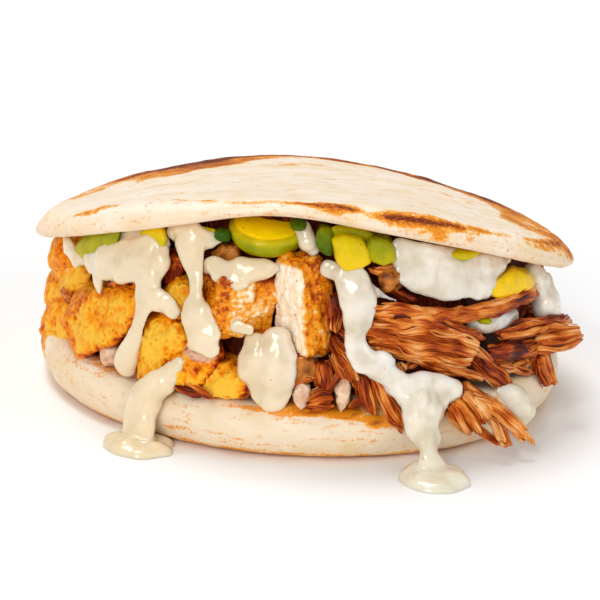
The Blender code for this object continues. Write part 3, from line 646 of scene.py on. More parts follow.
def shredded(path, width, flat=0.75, tips=(0.6, 0.6), thick=0.5, tone=0.0):
    """A bundle of muscle: a core painted dark as the shade between its strands, and round it strands in
    ribbons of three. Each ribbon follows the bundle's path a little aslant, and each strand wanders
    by noise and breaks off on its own.
    A loose fibre goes with every other ribbon."""
    seed = int(rng.integers(1, 900))
    t = np.linspace(-SPARE, 1 + SPARE, len(path))
    length = np.linalg.norm(np.diff(path, axis=0), axis=-1).sum() / (1 + 2 * SPARE)
    beside, outward = frame_along(path)
    narrow = np.where(t < 0.5, tips[0], tips[1])
    from_end = np.minimum(t, 1 - t)
    half = 0.5 * width * (narrow + (1 - narrow) * smooth(from_end, 0.0, 0.35))
    inside = np.flatnonzero((t > 0.03) & (t < 0.97))[::2]
    core_half = (half - 1.05 * thick)[inside] * np.sqrt(smooth(from_end[inside], 0.0, 0.10) + 0.05)
    core, angle = tube(path[inside], np.maximum(core_half, 0.2), CORE_SIDES, flat)
    grain = spread(np.cos(angle) * width, np.sin(angle) * width, t[inside][:, None] * length) + seed
    # The core is painted dark: the shade seen in the gaps between the strands.
    parts = [(core, {"grain": grain, "tone": np.full(angle.shape, -0.5 + 0.5 * tone)})]
    ribbons = max(round(math.pi * 0.5 * width * (1 + flat) / (2.35 * thick)), 3)
    for k in range(4 * ribbons):
        ribbon, place = divmod(k, 4)
        loose = place == 3
        if place == 0:
            ribbon_short = rng.uniform(0.0, 1.0, 2) ** 2 * 0.20 - 0.06
            ribbon_turn = rng.uniform(-0.2, 0.2)
            ribbon_lean = 0.45 * rng.uniform(-1, 1)
            ribbon_out = rng.uniform(-0.60, 0.25) * thick
            ribbon_tone = rng.uniform(-0.34, 0.22)
        if loose and ribbon % 2:
            continue
        radius = 0.5 * thick * (rng.uniform(0.25, 0.42) if loose else rng.uniform(0.95, 1.40))
        short = ribbon_short + rng.uniform(0.0, 0.07, 2)
        s = np.linspace(short[0], 1 - short[1], max(int(length / STRAND_STEP), 14))
        shared = spread(s * length / 7.0, ribbon * 3.3, seed)
        own = spread(s * length / 4.0, k * 3.3, seed + 7.7)
        turn = 2 * math.pi * (ribbon + 0.29 * (place - 1) * (1 - loose) + ribbon_turn) / ribbons
        turn = turn + ribbon_lean * (s - 0.5) + 0.32 * noise(shared, 2)
        turn = turn + (0.55 if loose else 0.10) * noise(own, 4)
        out = np.interp(s, t, half) + ribbon_out - radius * rng.uniform(0.6, 0.9)
        out = out - 0.15 * thick * (place in (0, 2))
        out = out + 0.45 * thick * noise(shared + 9.5, 3) + (0.18 + 0.3 * loose) * thick * noise(own + 5.5, 6)
        out = out + 0.35 * thick * loose
        ways = (path, beside, outward)
        centre, aside, away = (spread(*(np.interp(s, t, line) for line in way.T)) for way in ways)
        centre = centre + aside * (out * np.cos(turn))[:, None] + away * (out * flat * np.sin(turn))[:, None]
        to_end = np.minimum(s - s[0], s[-1] - s) * length
        swell = (1 + 0.30 * noise(own * 1.7 + 4.5, 5)) * np.sqrt(np.clip(to_end / (0.7 * radius) + 0.1, 0, 1))
        strand, angle = tube(centre, radius * swell, FIBRE_SIDES if loose else STRAND_SIDES, 0.9)
        grain = spread(radius * np.cos(angle), radius * np.sin(angle), s[:, None] * length) + seed + 3.1 * k
        furrow_and_painted_shade = np.abs(noise(spread(np.cos(angle), np.sin(angle), grain[..., 2] * 0.16), seed + 1))
        knots_and_painted_light = noise(grain * (0.5, 0.5, 0.30), seed + 2)
        strand = raised(strand, radius * (0.20 * knots_and_painted_light - 0.35 * furrow_and_painted_shade))
        strand = strand + 0.46 * drift(strand / 3.2 + seed, 31)
        # Painted shade and light: darker in furrows and on the ribbons' edge strands, lighter on knots,
        # middle strands and loose fibres.
        shade = ribbon_tone + rng.uniform(-0.16, 0.16) + tone + 0.45 * knots_and_painted_light - 0.7 * furrow_and_painted_shade + 0.25 * loose
        shade = shade + 0.15 - 0.35 * (place == 0) + 0.15 * (place == 1)
        shade = shade + 0.85 * noise(strand / 3.6 + seed, 8)
        parts.append((strand, {"grain": grain, "tone": np.clip(shade, -1, 1)}))
    return parts


# Stewed beef, from near black to pale pink-orange; the palest stops paint the highlights of its wet gloss.
STEWED_AND_PAINTED_LIGHT = [(0.02, "#300600"), (1.0, "#FACA90"), (0.24, "#922C00"), (0.46, "#C45C0C"), (0.68, "#E8923E")]
stewed = meat_material("stewed beef", STEWED_AND_PAINTED_LIGHT, 0.32, 0.32, 5.0, 0.36, 0.28)
# Node, start, end, width, flatness, bow, tips, thickness of a strand, tone
STRANDS = [
    ("strip_long_upper", (35.5, 15, 58), (51.5, 4.3, 70), 3.6, 0.75, 1, (0.8, 0.7), 0.85, 0.8),
    ("strip_long_lower", (40, 11.5, 58.5), (50, 4, 69.5), 3.1, 0.75, 0.5, (0.8, 0.7), 0.85, 0.75),
    ("strip_short", (42, 9, 61), (45.5, 4.2, 68.5), 3.6, 0.75, 0, (0.8, 0.8), 0.85, 0.65),
    ("beef_roll", (16, 33.2, 57), (50.5, 31, 57), 3.9, 0.9, -1, (0.9, 0.9), 1.1, -0.15),
    ("beef_bundle", (13.5, 28.4, 56), (36.5, 22.6, 57.5), 8.8, 0.6, 0.9, (0.8, 1), 0.8, 0.42),
    ("beef_over_bundle", (16.5, 32.2, 57), (36, 26.6, 58), 3.6, 0.75, 0.9, (0.6, 0.8), 0.8, 0.3),
    ("beef_under_bundle", (22, 23.6, 57), (39, 16, 57.5), 3, 0.75, 0.6, (0.7, 0.7), 0.8, 0.2),
    ("beef_right_tip", (51.5, 19, 57.5), (62.6, 20.3, 65.4), 5.6, 0.75, 0, (0.9, 0.8), 0.85, 0.5),
    ("beef_right_upper", (43, 23.8, 55.5), (60, 22.6, 62), 4, 0.75, 1, (0.7, 0.7), 0.8, 0.15),
    ("beef_right_lower", (40.5, 20.8, 55.5), (54.5, 18, 58), 5, 0.75, 0, (0.7, 0.7), 0.85, -0.55),
    ("beef_diagonal", (37.5, 20.5, 56), (47, 11, 57.5), 4.2, 0.75, 0.8, (0.7, 0.8), 0.8, -0.2),
    ("strand_long", (16, 20, 57), (23.3, 7.5, 60), 3.6, 0.75, 0, (0.8, 0.5), 0.8, -0.1),
    ("strand_short", (13.2, 20, 56.5), (17, 11, 58.5), 3.4, 0.75, 0, (0.8, 0.6), 0.8, -0.5),
    ("beef_mass_low", (33.5, 13.5, 59.5), (39.5, 6.5, 62), 7.6, 0.7, 0.4, (0.9, 0.8), 0.9, 0.35),
    ("beef_lump_low", (37, 13.5, 61), (42.5, 9, 62.5), 5, 0.7, 0.3, (0.8, 0.8), 0.9, 0.75),
    ("beef_end_right", (52.8, 16.5, 57.5), (56.4, 8.4, 60), 6.2, 0.7, 0.2, (0.8, 0.9), 0.95, 0.15),
    ("beef_dark_right", (35, 20.5, 53.5), (41, 16.5, 54), 5.4, 0.8, 0, (0.8, 0.8), 0.7, -0.6),
    ("beef_orange_middle", (8.6, 23.6, 55), (12.4, 17.6, 56), 5.6, 0.8, 0, (0.7, 0.9), 0.62, 0.3),
    ("beef_upright", (5.4, 21.6, 55), (7, 15, 55.5), 4.6, 0.9, 0, (0.8, 0.8), 0.6, -0.45),
    ("beef_orange_low", (3.2, 12.9, 56.5), (8.2, 13.8, 56.5), 4.6, 0.9, 0.3, (0.8, 0.8), 0.58, 0.25),
    ("beef_dark_middle", (7.5, 27, 53), (11.5, 22.4, 54), 5.4, 0.9, 0, (0.8, 0.8), 0.65, -0.6),
    ("shreds_middle", (7.6, 36, 53), (8.4, 28, 54), 4.8, 0.9, 0, (0.8, 0.8), 0.62, -0.05),
]
for node, start, end, width, flat, bow, tips, thick, tone in STRANDS:
    parts = shredded(across_mouth(start, end, bow), width, flat, tips, thick, tone)
    serve(closed_mesh(f"{node}_shreds", parts, stewed), "beef", node)

# Start, end, width, tone
BITS_OF_BEEF = [
    ((39, 7, 61.5), (44, 3.8, 66), 2.1, 0.4), ((34.5, 26.4, 56), (40, 24, 56), 1.8, 0.1),
    ((36, 23.4, 56.4), (42, 19, 57), 2, 0.4), ((21.5, 21.2, 55.5), (23.4, 19.6, 56), 2.2, 0.5),
    ((23.6, 20, 55.5), (25.4, 21.4, 56), 2.2, 0.5), ((35.5, 23, 56), (42.5, 18.5, 56.5), 2.2, -0.1),
    ((42, 17, 56), (52.5, 14, 56.5), 2.6, 0.3), ((1.5, 12.6, 56.5), (5, 12, 57), 2, -0.2),
    ((8, 36, 53), (9.5, 28, 54), 1.8, 0), ((5.5, 36, 54), (7.5, 30, 55), 1.6, 0.3),
    ((-2.5, 21.5, 55), (2, 22.5, 56), 1.8, -0.3), ((-1.5, 16.5, 56), (4, 18.5, 57), 1.7, 0.3),
    ((7.5, 16, 57), (11.5, 22, 56.5), 1.8, 0), ((10.5, 24, 54), (13.5, 16, 56), 2, 0.2),
    ((12, 12, 57.5), (16.5, 16, 57.5), 1.6, -0.3), ((-25, 14.2, 58.6), (-18.5, 13.4, 59), 2.6, -0.7),
    ((-22.4, 14.8, 59.2), (-16.6, 13, 59.4), 1.6, 0.2), ((47, 15.5, 56.5), (51.5, 12.5, 57.5), 2.4, 0.3),
    ((50, 26.5, 55), (55, 23.5, 56.5), 2.4, 0.2), ((14, 41.5, 54.5), (21, 41, 54.5), 2.2, 0.1),
    ((20, 36.5, 55), (24, 34.6, 55.5), 2, -0.3),
]
parts = []
for start, end, width, tone in BITS_OF_BEEF:
    parts += shredded(across_mouth(start, end), width, tone=tone)
serve(closed_mesh("small_beef_shreds", parts, stewed), "beef")

# Onion and mushroom
#
# Slices of onion cooked soft and clear, and browned mushroom, smooth and wet. They are pressed in
# among the meat, so that little more than their rounded edges shows.


def soft_material(name, light, dark, shine, inside=0.0):
    """Soft cooked vegetable: one colour that deepens in patches, wet gloss."""
    material, add, shade, grain = new_material(name, "grain")
    patches = add("TexNoise", {"Vector": grain, "Scale": 0.45, "Detail": 5.0})
    colour = add("ValToRGB", {"Fac": patches}, stops=[(0.35, dark), (0.65, light)])
    relief = add("Bump", {"Height": patches, "Strength": 0.4, "Distance": 0.4 * MM})
    shade({"Base Color": colour, "Roughness": shine, "Specular IOR Level": 0.2, "Normal": relief})
    shade({"Subsurface Weight": inside, "Subsurface Scale": 0.6})
    shade({"Subsurface Radius": (4 * MM, 2.5 * MM, 1.5 * MM)})
    return material


def softened(size, seed, square, count, uneven):
    """A lump with a low, slow unevenness."""
    rings = lump(size, square, count, seed)
    height = uneven * rough(rings / 2.8 + seed * 5.3, 3, seed)
    return raised(rings, height), {"grain": rings + seed * 5.3}


cooked = {
    "onion": soft_material("cooked onion", "#EACDB0", "#C48E6A", 0.2, 0.5),
    "mushroom": soft_material("browned mushroom", "#CC7E2E", "#6A2C06", 0.28),
}
# Node, slot, rim, depth before and behind it, outline
VEGETABLES = [
    ("onion_strip", "onion", 56, 1.6, 7, [
        (0, 15.8), (1.6, 17.4), (3.6, 16.4), (3.4, 13.6), (1.8, 11.4), (0.4, 13),
    ]),
    ("onion_right", "onion", 57, 1.5, 7, [
        (8.9, 16.8), (10.3, 18.6), (11.9, 16.6), (11.8, 13), (10.2, 11), (9.2, 13.6),
    ]),
    ("mushroom_middle", "mushroom", 55, 2.2, 8, [
        (-2, 21.4), (0, 22.6), (3.6, 22.2), (4.9, 19.8), (3.4, 17.4), (0.4, 16.8), (-1.6, 18.8),
    ]),
    ("mushroom_left", "mushroom", 52, 2.2, 8, [
        (-18.4, 42), (-16.4, 44), (-13.4, 44.2), (-12.6, 42), (-14.4, 40.6), (-17.6, 40.6),
    ]),
    ("mushroom_round", "mushroom", 54, 2.6, 8, [
        (16.6, 40.8), (18.6, 42.2), (21.2, 41.2), (21.6, 38.4), (20, 35.9), (17.4, 36.4), (16.4, 38.6),
    ]),
]
for seed, (node, slot, rim, front, back, corners) in enumerate(VEGETABLES):
    rings, _ = nugget(corners, rim, front, back, 2.6, 90, 0.6)
    shift = seed * 5.3
    skin = (raised(rings, 0.50 * rough(rings / 2.4 + shift, 4, seed + 71)), {"grain": rings + shift})
    serve(closed_mesh(f"{node}_cooked", [skin], cooked[slot]), slot, node)
rings, marks = softened((5, 8, 5.5), 77, 2.6, 80, 0.35)
skin = (placed(rings, at(-39.5, 14.5, 53)), marks)
serve(closed_mesh("small_onion_left", [skin], cooked["onion"]), "onion")

# Avocado
#
# Ripe avocado, sliced and diced: yellow flesh that turns green towards the skin, soft at its edges
# and wet. The round slice lies on its rim with the flat face up, under the upper half.

RIPE = [(0.0, "#FFE600"), (1.0, "#2E5000"), (0.22, "#F8CA18"), (0.40, "#D0B80A"), (0.60, "#A09C00")]
RIPE += [(0.80, "#5E7000")]


def avocado_material(name):
    """Ripe avocado: yellow to lime to deep green by attribute, smooth and wet."""
    material, add, shade, grain, tone = new_material(name, "grain", "tone")
    patches = add("TexNoise", {"Vector": grain, "Scale": 0.30, "Detail": 4.0})
    specks = add("TexVoronoi", {"Vector": grain, "Scale": 0.42})
    colour = add("ValToRGB", {"Fac": summed(add, -0.15, (patches, 0.30), (tone, 1.0))}, stops=RIPE)
    colour = painted(add, colour, "#A8641A", specks, 0.13, 0.06, 0.7)
    relief = add("Bump", {"Height": patches, "Strength": 0.3, "Distance": 0.3 * MM})
    shade({"Base Color": colour, "Roughness": 0.30, "Specular IOR Level": 0.05, "Normal": relief})
    shade({"Subsurface Weight": 0.1, "Subsurface Scale": 0.6})
    shade({"Subsurface Radius": (3 * MM, 2 * MM, 0.8 * MM)})
    shade({"Coat Weight": 0.2, "Coat Roughness": 0.06})
    return material


avocado = avocado_material("ripe avocado")
ROUND_RADIUS, ROUND_DEPTH = 8.2, 6.2
ROUND_PROFILE = [(0.66, 0), (0.80, -0.01), (0.91, -0.05), (0.98, -0.14), (1.0, -0.27), (0.96, -0.46)]
ROUND_PROFILE += [(0.84, -0.70), (0.62, -0.88), (0.3, -0.98)]
profile = np.vstack([[[0.05, 0.0], [0.35, 0.0], [0.6, 0.0]], curve(ROUND_PROFILE, 60)])
radius, height = (profile * np.array([ROUND_RADIUS, ROUND_DEPTH])).T[..., None]
turn = turns(160)
rings = spread(radius * np.cos(turn), radius * np.sin(turn), height)
rings = raised(rings, 0.12 * rough(rings / 2.6, 3, 81))
share = radius / ROUND_RADIUS + 0 * turn
drop = -height / ROUND_DEPTH + 0 * turn
tone = 0.02 + 0.46 * smooth(share, 0.80, 0.90)
tone = tone + 0.16 * smooth(drop, 0.08, 0.30) + 0.06 * smooth(drop, 0.5, 0.9)
tipped = np.array(Matrix.Rotation(math.radians(15.0), 3, "X"))
skin = (rings @ tipped.T + at(-7.2, 49.2, 49.5), {"grain": rings, "tone": tone})
serve(closed_mesh("avocado_round_slice", [skin], avocado), "avocado_rim", "avocado_round")

# Node, slot, rim, depth before and behind it, squareness, tone and its rise, outline
AVOCADO = [
    ("avocado_chunk", "avocado_flesh", 54.8, 3.6, 8, 4, 0.34, 0.2, [
        (6, 48.5), (8.5, 49.3), (12, 48.3), (13.8, 46), (14.3, 43.5), (12, 41.8), (9, 41.5), (7, 44),
    ]),
    ("avocado_skin_piece", "avocado_rim", 55, 2.6, 6, 2.6, 0.84, -0.25, [
        (2.8, 48.8), (3.5, 50.5), (5.5, 50.4), (6.6, 48), (6.2, 44.6), (4.4, 45), (2.8, 46.8),
    ]),
    ("avocado_cube", "avocado_rim", 54.2, 3, 7, 4, 0.58, 0.2, [
        (13, 46.5), (14.3, 48.4), (17.2, 48.2), (19.2, 46), (19.7, 43.4), (17, 42.2), (14, 43.8),
    ]),
    ("avocado_wedge", "avocado_flesh", 56, 2.8, 8, 2.6, 0.25, 0.12, [
        (39.5, 34.8), (42, 36.6), (45.2, 37.6), (49, 35.8), (51, 33.2), (50.3, 30.4), (47.5, 30.6),
        (43, 31.6),
    ]),
    ("avocado_slice_left", "avocado_rim", 55.5, 2.2, 7, 2.6, 0.6, 0.22, [
        (-49, 34.8), (-47, 38.5), (-43.5, 41.5), (-38.8, 44), (-38.6, 41), (-41, 36.8), (-43.8, 34.6),
        (-46.5, 33.8),
    ]),
    ("avocado_piece_left", "avocado_flesh", 55, 2.2, 7, 2.6, 0.42, -0.3, [
        (-34, 44), (-32, 46.5), (-29.3, 46.3), (-28, 44), (-29, 40.8), (-32, 40.3),
    ]),
]
for seed, (node, slot, rim, front, back, square, tone, rise, corners) in enumerate(AVOCADO):
    rings, _ = nugget(corners, rim, front, back, square, 110, 0.5)
    level = (rings[..., 2] - rings[..., 2].min()) / np.ptp(rings[..., 2]) - 0.5
    marks = {"grain": rings + seed, "tone": tone + rise * level}
    skin = (raised(rings, 0.20 * rough(rings / 2.4, 3, seed + 91)), marks)
    serve(closed_mesh(f"{node}_soft", [skin], avocado), slot, node)


def smooth_strip(start, end, width, bow, tone):
    """A smooth strip with round ends: half the width times sqrt(1 - (2t - 1)^8)."""
    path = across_mouth(start, end, bow)
    t = np.linspace(0, 1, len(path))
    half = 0.5 * width * np.sqrt(np.clip(1 - (2 * t - 1) ** 8, 0.01, 1))
    rings, angle = tube(path, half, 28, 0.75)
    return rings, {"grain": rings, "tone": tone + 0.1 * np.cos(angle)}


skin = smooth_strip((6.5, 49.2, 54), (15, 46.8, 53), 2.6, 1.0, 0.60)
serve(closed_mesh("avocado_skin_arc_soft", [skin], avocado), "avocado_rim", "avocado_skin_arc")
parts = [smooth_strip((-26, 46.3, 53.5), (-16, 46.0, 53.5), 2.0, 0.4, 0.50)]
# Place, size, tone
BITS_OF_AVOCADO = [
    ((-16.4, 46.6, 54), (3.4, 4, 2.6), 0.98), ((30.5, 43.5, 52), (12.5, 9, 3), 0.46),
    ((-1.0, 50.3, 54), (3.4, 5, 2.4), 0.92), ((39.5, 28.6, 57.5), (3.0, 3, 1.4), 0.6),
]
for place, size, tone in BITS_OF_AVOCADO:
    rings, marks = softened(size, int(97 + place[0]), 2.6, 50, 0.2)
    marks["tone"] = np.full(rings.shape[:2], tone)
    parts.append((placed(rings, at(*place)), marks))
serve(closed_mesh("small_avocado_bits", parts, avocado), "avocado_rim")

# Filling round the sides and the back
#
# The same chicken, beef, avocado, onion and sauce, pressed in all round. Pieces of each kind stand
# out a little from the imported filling, as they do in the mouth, but lie lower and plainer.

FIRST_ANGLE, LAST_ANGLE = -12.0, 192.0  # degrees from +X; the mouth takes up the rest
SIDE_REACH, SHRED_REACH, CEILING_REACH = 50.5, 53.6, 54.0
SIDE_SIZE = np.array([11.0, 10.0, 8.6])


def round_side(start, end, bow):
    """A path round the side, from angle, height and reach at its start to those at its end."""
    angle, height, reach = evenly(start, end, bow)
    angle = np.radians(angle)
    return spread(reach * np.cos(angle), reach * np.sin(angle), height)


def ceiling(angle):
    """Height of the upper half's underside in this direction."""
    angle = math.radians(angle)
    return upper_place(CEILING_REACH * math.cos(angle), CEILING_REACH * math.sin(angle), -UPPER_THICKNESS)[2]


def round_place(angle, share):
    """The point in this direction, share of the way from just over the lower half (12.6 mm up) to
    just under the upper one (0.8 mm below it)."""
    height = 12.6 + (ceiling(angle) - 13.4) * share
    angle = math.radians(angle)
    return np.array([SIDE_REACH * math.cos(angle), SIDE_REACH * math.sin(angle), height])


ROWS = ((0.27, 0.74), (0.32, 0.80), (0.22, 0.70))  # how far up the low and the high piece lie, by turns
chunks, blocks, shreds, greens, onions = [], [], [], [], []
for k, angle in enumerate(np.linspace(FIRST_ANGLE, LAST_ANGLE, 26)):
    shift = rng.uniform(-1.5, 1.5, 2)
    tilt = rng.uniform(-25, 25, 2)
    for row, share in enumerate(ROWS[k % 3]):
        place = round_place(angle + shift[row], share)
        kind = (k * 2 + row * 5 + 8) % 9
        size = rng.uniform(0.85, 1.15) * SIDE_SIZE
        if kind in (0, 3, 7):
            found = chunks
            rings, marks = battered(lump(size, 2.8, 90, k + 11), k + 40 * row + 11)
            marks["tone"] = marks["tone"] - 0.35
        elif kind == 5:
            found = blocks
            rings, marks = seared(size * (0.9, 1.0, 0.9), k + 200 + row, 90)
            marks["crust"] = 0.45 + 0.4 * noise(rings / 5.0 + k, 3)
        elif kind == 8 and row:
            found = greens
            rings, marks = softened(size * (0.8, 0.8, 0.7), k + 300, 3.0, 60, 0.25)
            marks["tone"] = 0.42 + 0.25 * rings[..., 2] / size[2]
        elif kind == 2 and row:
            found = onions
            rings, marks = softened(size * (0.5, 0.7, 0.8), k + 400, 2.6, 50, 0.3)
        else:
            height = place[2] + rng.uniform(-1, 1)
            half = rng.uniform(5.0, 9.0)
            rise = rng.uniform(-2.6, 2.6)
            start = (angle - half, height - rise, SHRED_REACH)
            end = (angle + half, height + rise, SHRED_REACH)
            path = round_side(start, end, rng.uniform(-0.8, 1.2))
            shreds += shredded(path, rng.uniform(3.2, 5.6), 0.7, (0.7, 0.7), 1.5, rng.uniform(-0.3, 0.2))
            continue
        found.append((placed(rings, place, tilt[row], angle + 90.0), marks))
serve(closed_mesh("packed_fried_chicken", chunks, batter), "fried_chicken")
serve(closed_mesh("packed_grilled_chicken", blocks, seared_meat), "grilled_chicken")
serve(closed_mesh("packed_beef", shreds, stewed), "beef")
serve(closed_mesh("packed_avocado", greens, avocado), "avocado_rim")
serve(closed_mesh("packed_onion", onions, cooked["onion"]), "onion")

# Upper half of the bread
#
# The other half of the round, laid on top. It is thinner and softer, so both sides hang, and the
# mouth's edge is pushed up by the avocado. The griddle browned the rim of its flat face.

UPPER_RIM = [(54.8, 0), (56.8, -0.35), (58.9, -1.6), (60.3, -3.1), (59.8, -4.4), (57.9, -5.5), (54, -5.5)]
# Toasted line along the front: across, distance from the middle over the top, strength
FRONT_LINE = [
    (-57, 58.2, 0.1), (-51, 57.6, 0.15), (-47, 57.2, 0.55), (-42, 55.9, 0.4), (-36, 53.5, 0.15),
    (-29, 53, 0.22), (-23, 56.4, 0.35), (-15, 57.4, 0.35), (-7, 57.3, 0.4), (-2, 57.6, 0.65),
    (3, 58.1, 0.95), (9, 58.6, 1), (11.5, 58.8, 0.55), (14.5, 58.9, 0.55), (17, 59.2, 1.05), (21, 59, 1.15),
    (26, 58.8, 1.15), (31, 58.7, 0.9), (35, 58.3, 0.6), (39, 58.2, 0.3), (46, 57.8, 0.15), (50, 57.5, 0.7),
    (57, 57.4, 0.9),
]
RIM_SMEARS = [
    (27.5, 61.4, 2.6, 2.4, 0.52), (9.5, 61.5, 2, 1, 0.25), (31, 65.2, 4, 0.9, 0.45),
    (52, 58.8, 5, 1.2, 0.5),
]
TOP_SMEARS = [(36, 8, 9, 7, 0.7), (-2, 30, 14, 5, 0.9), (-30, -8, 10, 4, 0.8)]
face, under = spread(np.linspace(1, 54, 40), 0), spread(np.linspace(52, 1, 10), -UPPER_THICKNESS)
profile = np.vstack([face, curve(UPPER_RIM, 60), under])
flat_rings, angle = turned(profile, 440)
x, y = flat_rings[..., 0], flat_rings[..., 1]
rings = upper_place(x, y, underside(x, y) * (-flat_rings[..., 2] / UPPER_THICKNESS))
along = np.concatenate([[0], np.cumsum(np.hypot(*np.diff(profile, axis=0).T))])[:, None] + profile[0, 0]
along = along + 0 * x
above = smooth(-along, -66.5, -63.0)
dents = 0.30 * rough(flat_rings / 14.0, 3, 14) + 0.09 * rough(flat_rings * (0.3, 0.6, 0.6), 3, 19)
rings = raised(rings, above * dents)
toward = -np.sin(angle)[None]
wander = 0.7 * noise(spread(x / 5.0, along / 3.0, 0), 15)
line = np.array(FRONT_LINE)
strength = np.interp(x, line[:, 0], line[:, 2]) * smooth(toward, -0.15, 0.15)
width = 0.8 + 0.9 * np.clip(strength - 0.6, 0, 1)
off_line = (along - (np.interp(x, line[:, 0], line[:, 1]) + wander)) / width
toast = strength * (0.52 * np.exp(-(off_line**2)) + 0.45 * np.exp(-((off_line / 2.4) ** 2)))
toast = np.maximum(toast, smears(x, along, RIM_SMEARS) * (toward > 0))
behind = smooth(-toward + 0.40 * smooth(x, 20.0, 50.0), -0.10, 0.30)
ring_heat = 0.95 + 0.35 * noise(spread(x / 8, y / 8, 0), 17)
at_left = np.exp(-(((x + 25.0) / 18.0) ** 2))
inner = 51.0 - 19.0 * at_left - 9.5 * smooth(x, 14.0, 32.0) + 9.0 * smooth(x, 44.0, 56.0)
scorch = 0.58 * smooth(along + 3.0 * wander, inner, inner + 5.0)
scorch += 0.50 * smooth(along + 2.0 * wander, 47.0, 52.0) * smooth(-x, -54.0, -40.0)
reach_of_heat = 0.45 + 0.60 * smooth(x, -50.0, -38.0)
toast = np.maximum(toast, behind * scorch * ring_heat * reach_of_heat * smooth(-along, -62.5, -60.0))
toast = np.maximum(toast, 0.30 * smears(x, y, TOP_SMEARS) * above)
# The rim value darkens the rim and the underside: partly crust colour, partly painted shade.
rim = (0.34 + 0.16 * noise(spread(x / 7, along / 2, 0), 18)) * smooth(along, 57.5, 61.0)
stain = 0.25 * smooth(along, 60.2, 61.2) * smooth(-along, -64.4, -63.0)
stain = stain * smooth(x, -25.0, -5.0) * smooth(-x, -44.0, -30.0) * (toward > 0)
stain = np.maximum(stain, 0.5 * smooth(along, 63.5, 66.0))
pale_dough = bread_material("griddled corn dough", [(0.30, "#F7E0BA"), (0.72, "#FDF0DF"), (0.50, "#FBE9D2")])
skin = (rings, {"toast": toast, "stain": stain, "rim": rim})
serve(closed_mesh("upper_half", [skin], pale_dough), "bread", "bread_upper")

# White sauce
#
# A thick cream sauce, spooned over the filling. It hangs from under the upper half in sheets, runs
# down the mouth in round-edged streams, and has dripped over the lower half on to the table.

SAUCE_CELL = 0.38
SIDE_RUN_REACH = 55.6


def sauce_run(stops, flat):
    """A round-ended tube through stops of across, height, reach and width."""
    line = curve(stops, 12 * len(stops))
    path = spread(line[:, 0], -np.sqrt(line[:, 2] ** 2 - line[:, 0] ** 2), line[:, 1])
    half = 0.56 * line[:, 3]
    step = np.linspace(0.12, 1.0, 8)[:, None]
    before, after = path[0] - path[1], path[-1] - path[-2]
    first = path[:1] + before / np.linalg.norm(before) * half[0] * (1.0 - step)
    last = path[-1:] + after / np.linalg.norm(after) * half[-1] * (1.0 - step[::-1])
    cap = np.sqrt(1 - (1 - step[:, 0]) ** 2)
    path = np.vstack([first, path[1:-1], last])
    half = np.concatenate([half[0] * cap, half[1:-1], half[-1] * cap[::-1]])
    return tube(path, half, 20, flat)[0]


def puddle(across, back, radius, height):
    """A low dome on the table, deepest in the middle, with its rim rounded under."""
    share = np.linspace(-0.97, 0.97, 24)[:, None]
    turn = turns(48)
    wide = radius * np.sqrt(1 - share**2) ** 0.8
    return spread(across + wide * np.cos(turn), back + wide * np.sin(turn), height * share)


def melted(name, shapes, rounds):
    """Shapes fused into one skin of cells, softened by averaging, made wavy and cut off at the table."""
    piece = closed_mesh(name, [(rings, {}) for rings in shapes], sauce)
    melt = piece.modifiers.new("Melt", "REMESH")
    melt.mode = "VOXEL"
    melt.voxel_size = SAUCE_CELL * MM
    soften = piece.modifiers.new("Soften", "SMOOTH")
    soften.factor = 0.5
    soften.iterations = rounds
    before = piece.data
    mesh = bpy.data.meshes.new_from_object(piece.evaluated_get(bpy.context.evaluated_depsgraph_get()))
    piece.modifiers.clear()
    piece.data = mesh
    bpy.data.meshes.remove(before)
    mesh.name = name
    points, facing = (np.empty(len(mesh.vertices) * 3, np.float32) for _ in range(2))
    mesh.vertices.foreach_get("co", points)
    mesh.vertex_normals.foreach_get("vector", facing)
    points = points.reshape(-1, 3)
    folds = 0.75 * noise(points / MM * (0.26, 0.26, 0.12), 41)
    waves = folds + 0.28 * noise(points / (2.6 * MM), 43) + 0.10 * noise(points / (1.1 * MM), 44)
    points = points + facing.reshape(-1, 3) * (waves * MM)[:, None]
    points[:, 2] = np.maximum(points[:, 2], 0.0)
    mesh.vertices.foreach_set("co", points.astype(np.float32).ravel())
    mesh.update()
    mesh.shade_smooth()
    return piece


CREAM = [(0.34, "#C8BCA4"), (0.66, "#F4EFE6"), (0.50, "#E4DBCC")]


def sauce_material(name):
    """Thick cream sauce: near white, yellower low down and warmer to the left, greyer high up under the
    upper half as painted shade, soft inside, glossy.
    """
    material, add, shade = new_material(name)
    place = add("TexCoord", out="Object")
    across, height = (add("SeparateXYZ", {"Vector": place}, out=axis) for axis in "XZ")
    patches = add("TexNoise", {"Vector": place, "Scale": 1 / (6 * MM), "Detail": 3.0})
    waves = add("TexNoise", {"Vector": place, "Scale": 1 / (3.5 * MM), "Detail": 2.0})
    herbs = add("TexVoronoi", {"Vector": place, "Scale": 1 / (9 * MM)})
    colour = add("ValToRGB", {"Fac": patches}, stops=CREAM)
    colour = painted(add, colour, "#EEE4C6", height, 22 * MM, 4 * MM, 0.6)
    # Greyer high up: painted shade under the upper half's lip.
    colour = painted(add, colour, "#D8CFB8", height, 24 * MM, 38 * MM, 0.50)
    colour = painted(add, colour, "#E6CDA2", across, 14 * MM, -8 * MM, 0.72)
    colour = painted(add, colour, "#C98E4A", herbs, 0.05, 0.03, 0.5)
    relief = add("Bump", {"Height": waves, "Strength": 0.25, "Distance": 0.4 * MM})
    shade({"Base Color": colour, "Roughness": 0.30, "IOR": 1.42, "Normal": relief})
    shade({"Subsurface Weight": 0.55, "Subsurface Scale": 0.6})
    shade({"Subsurface Radius": (5 * MM, 4 * MM, 2.8 * MM)})
    shade({"Coat Weight": 1.0, "Coat Roughness": 0.07})
    return material


sauce = sauce_material("white cream sauce")
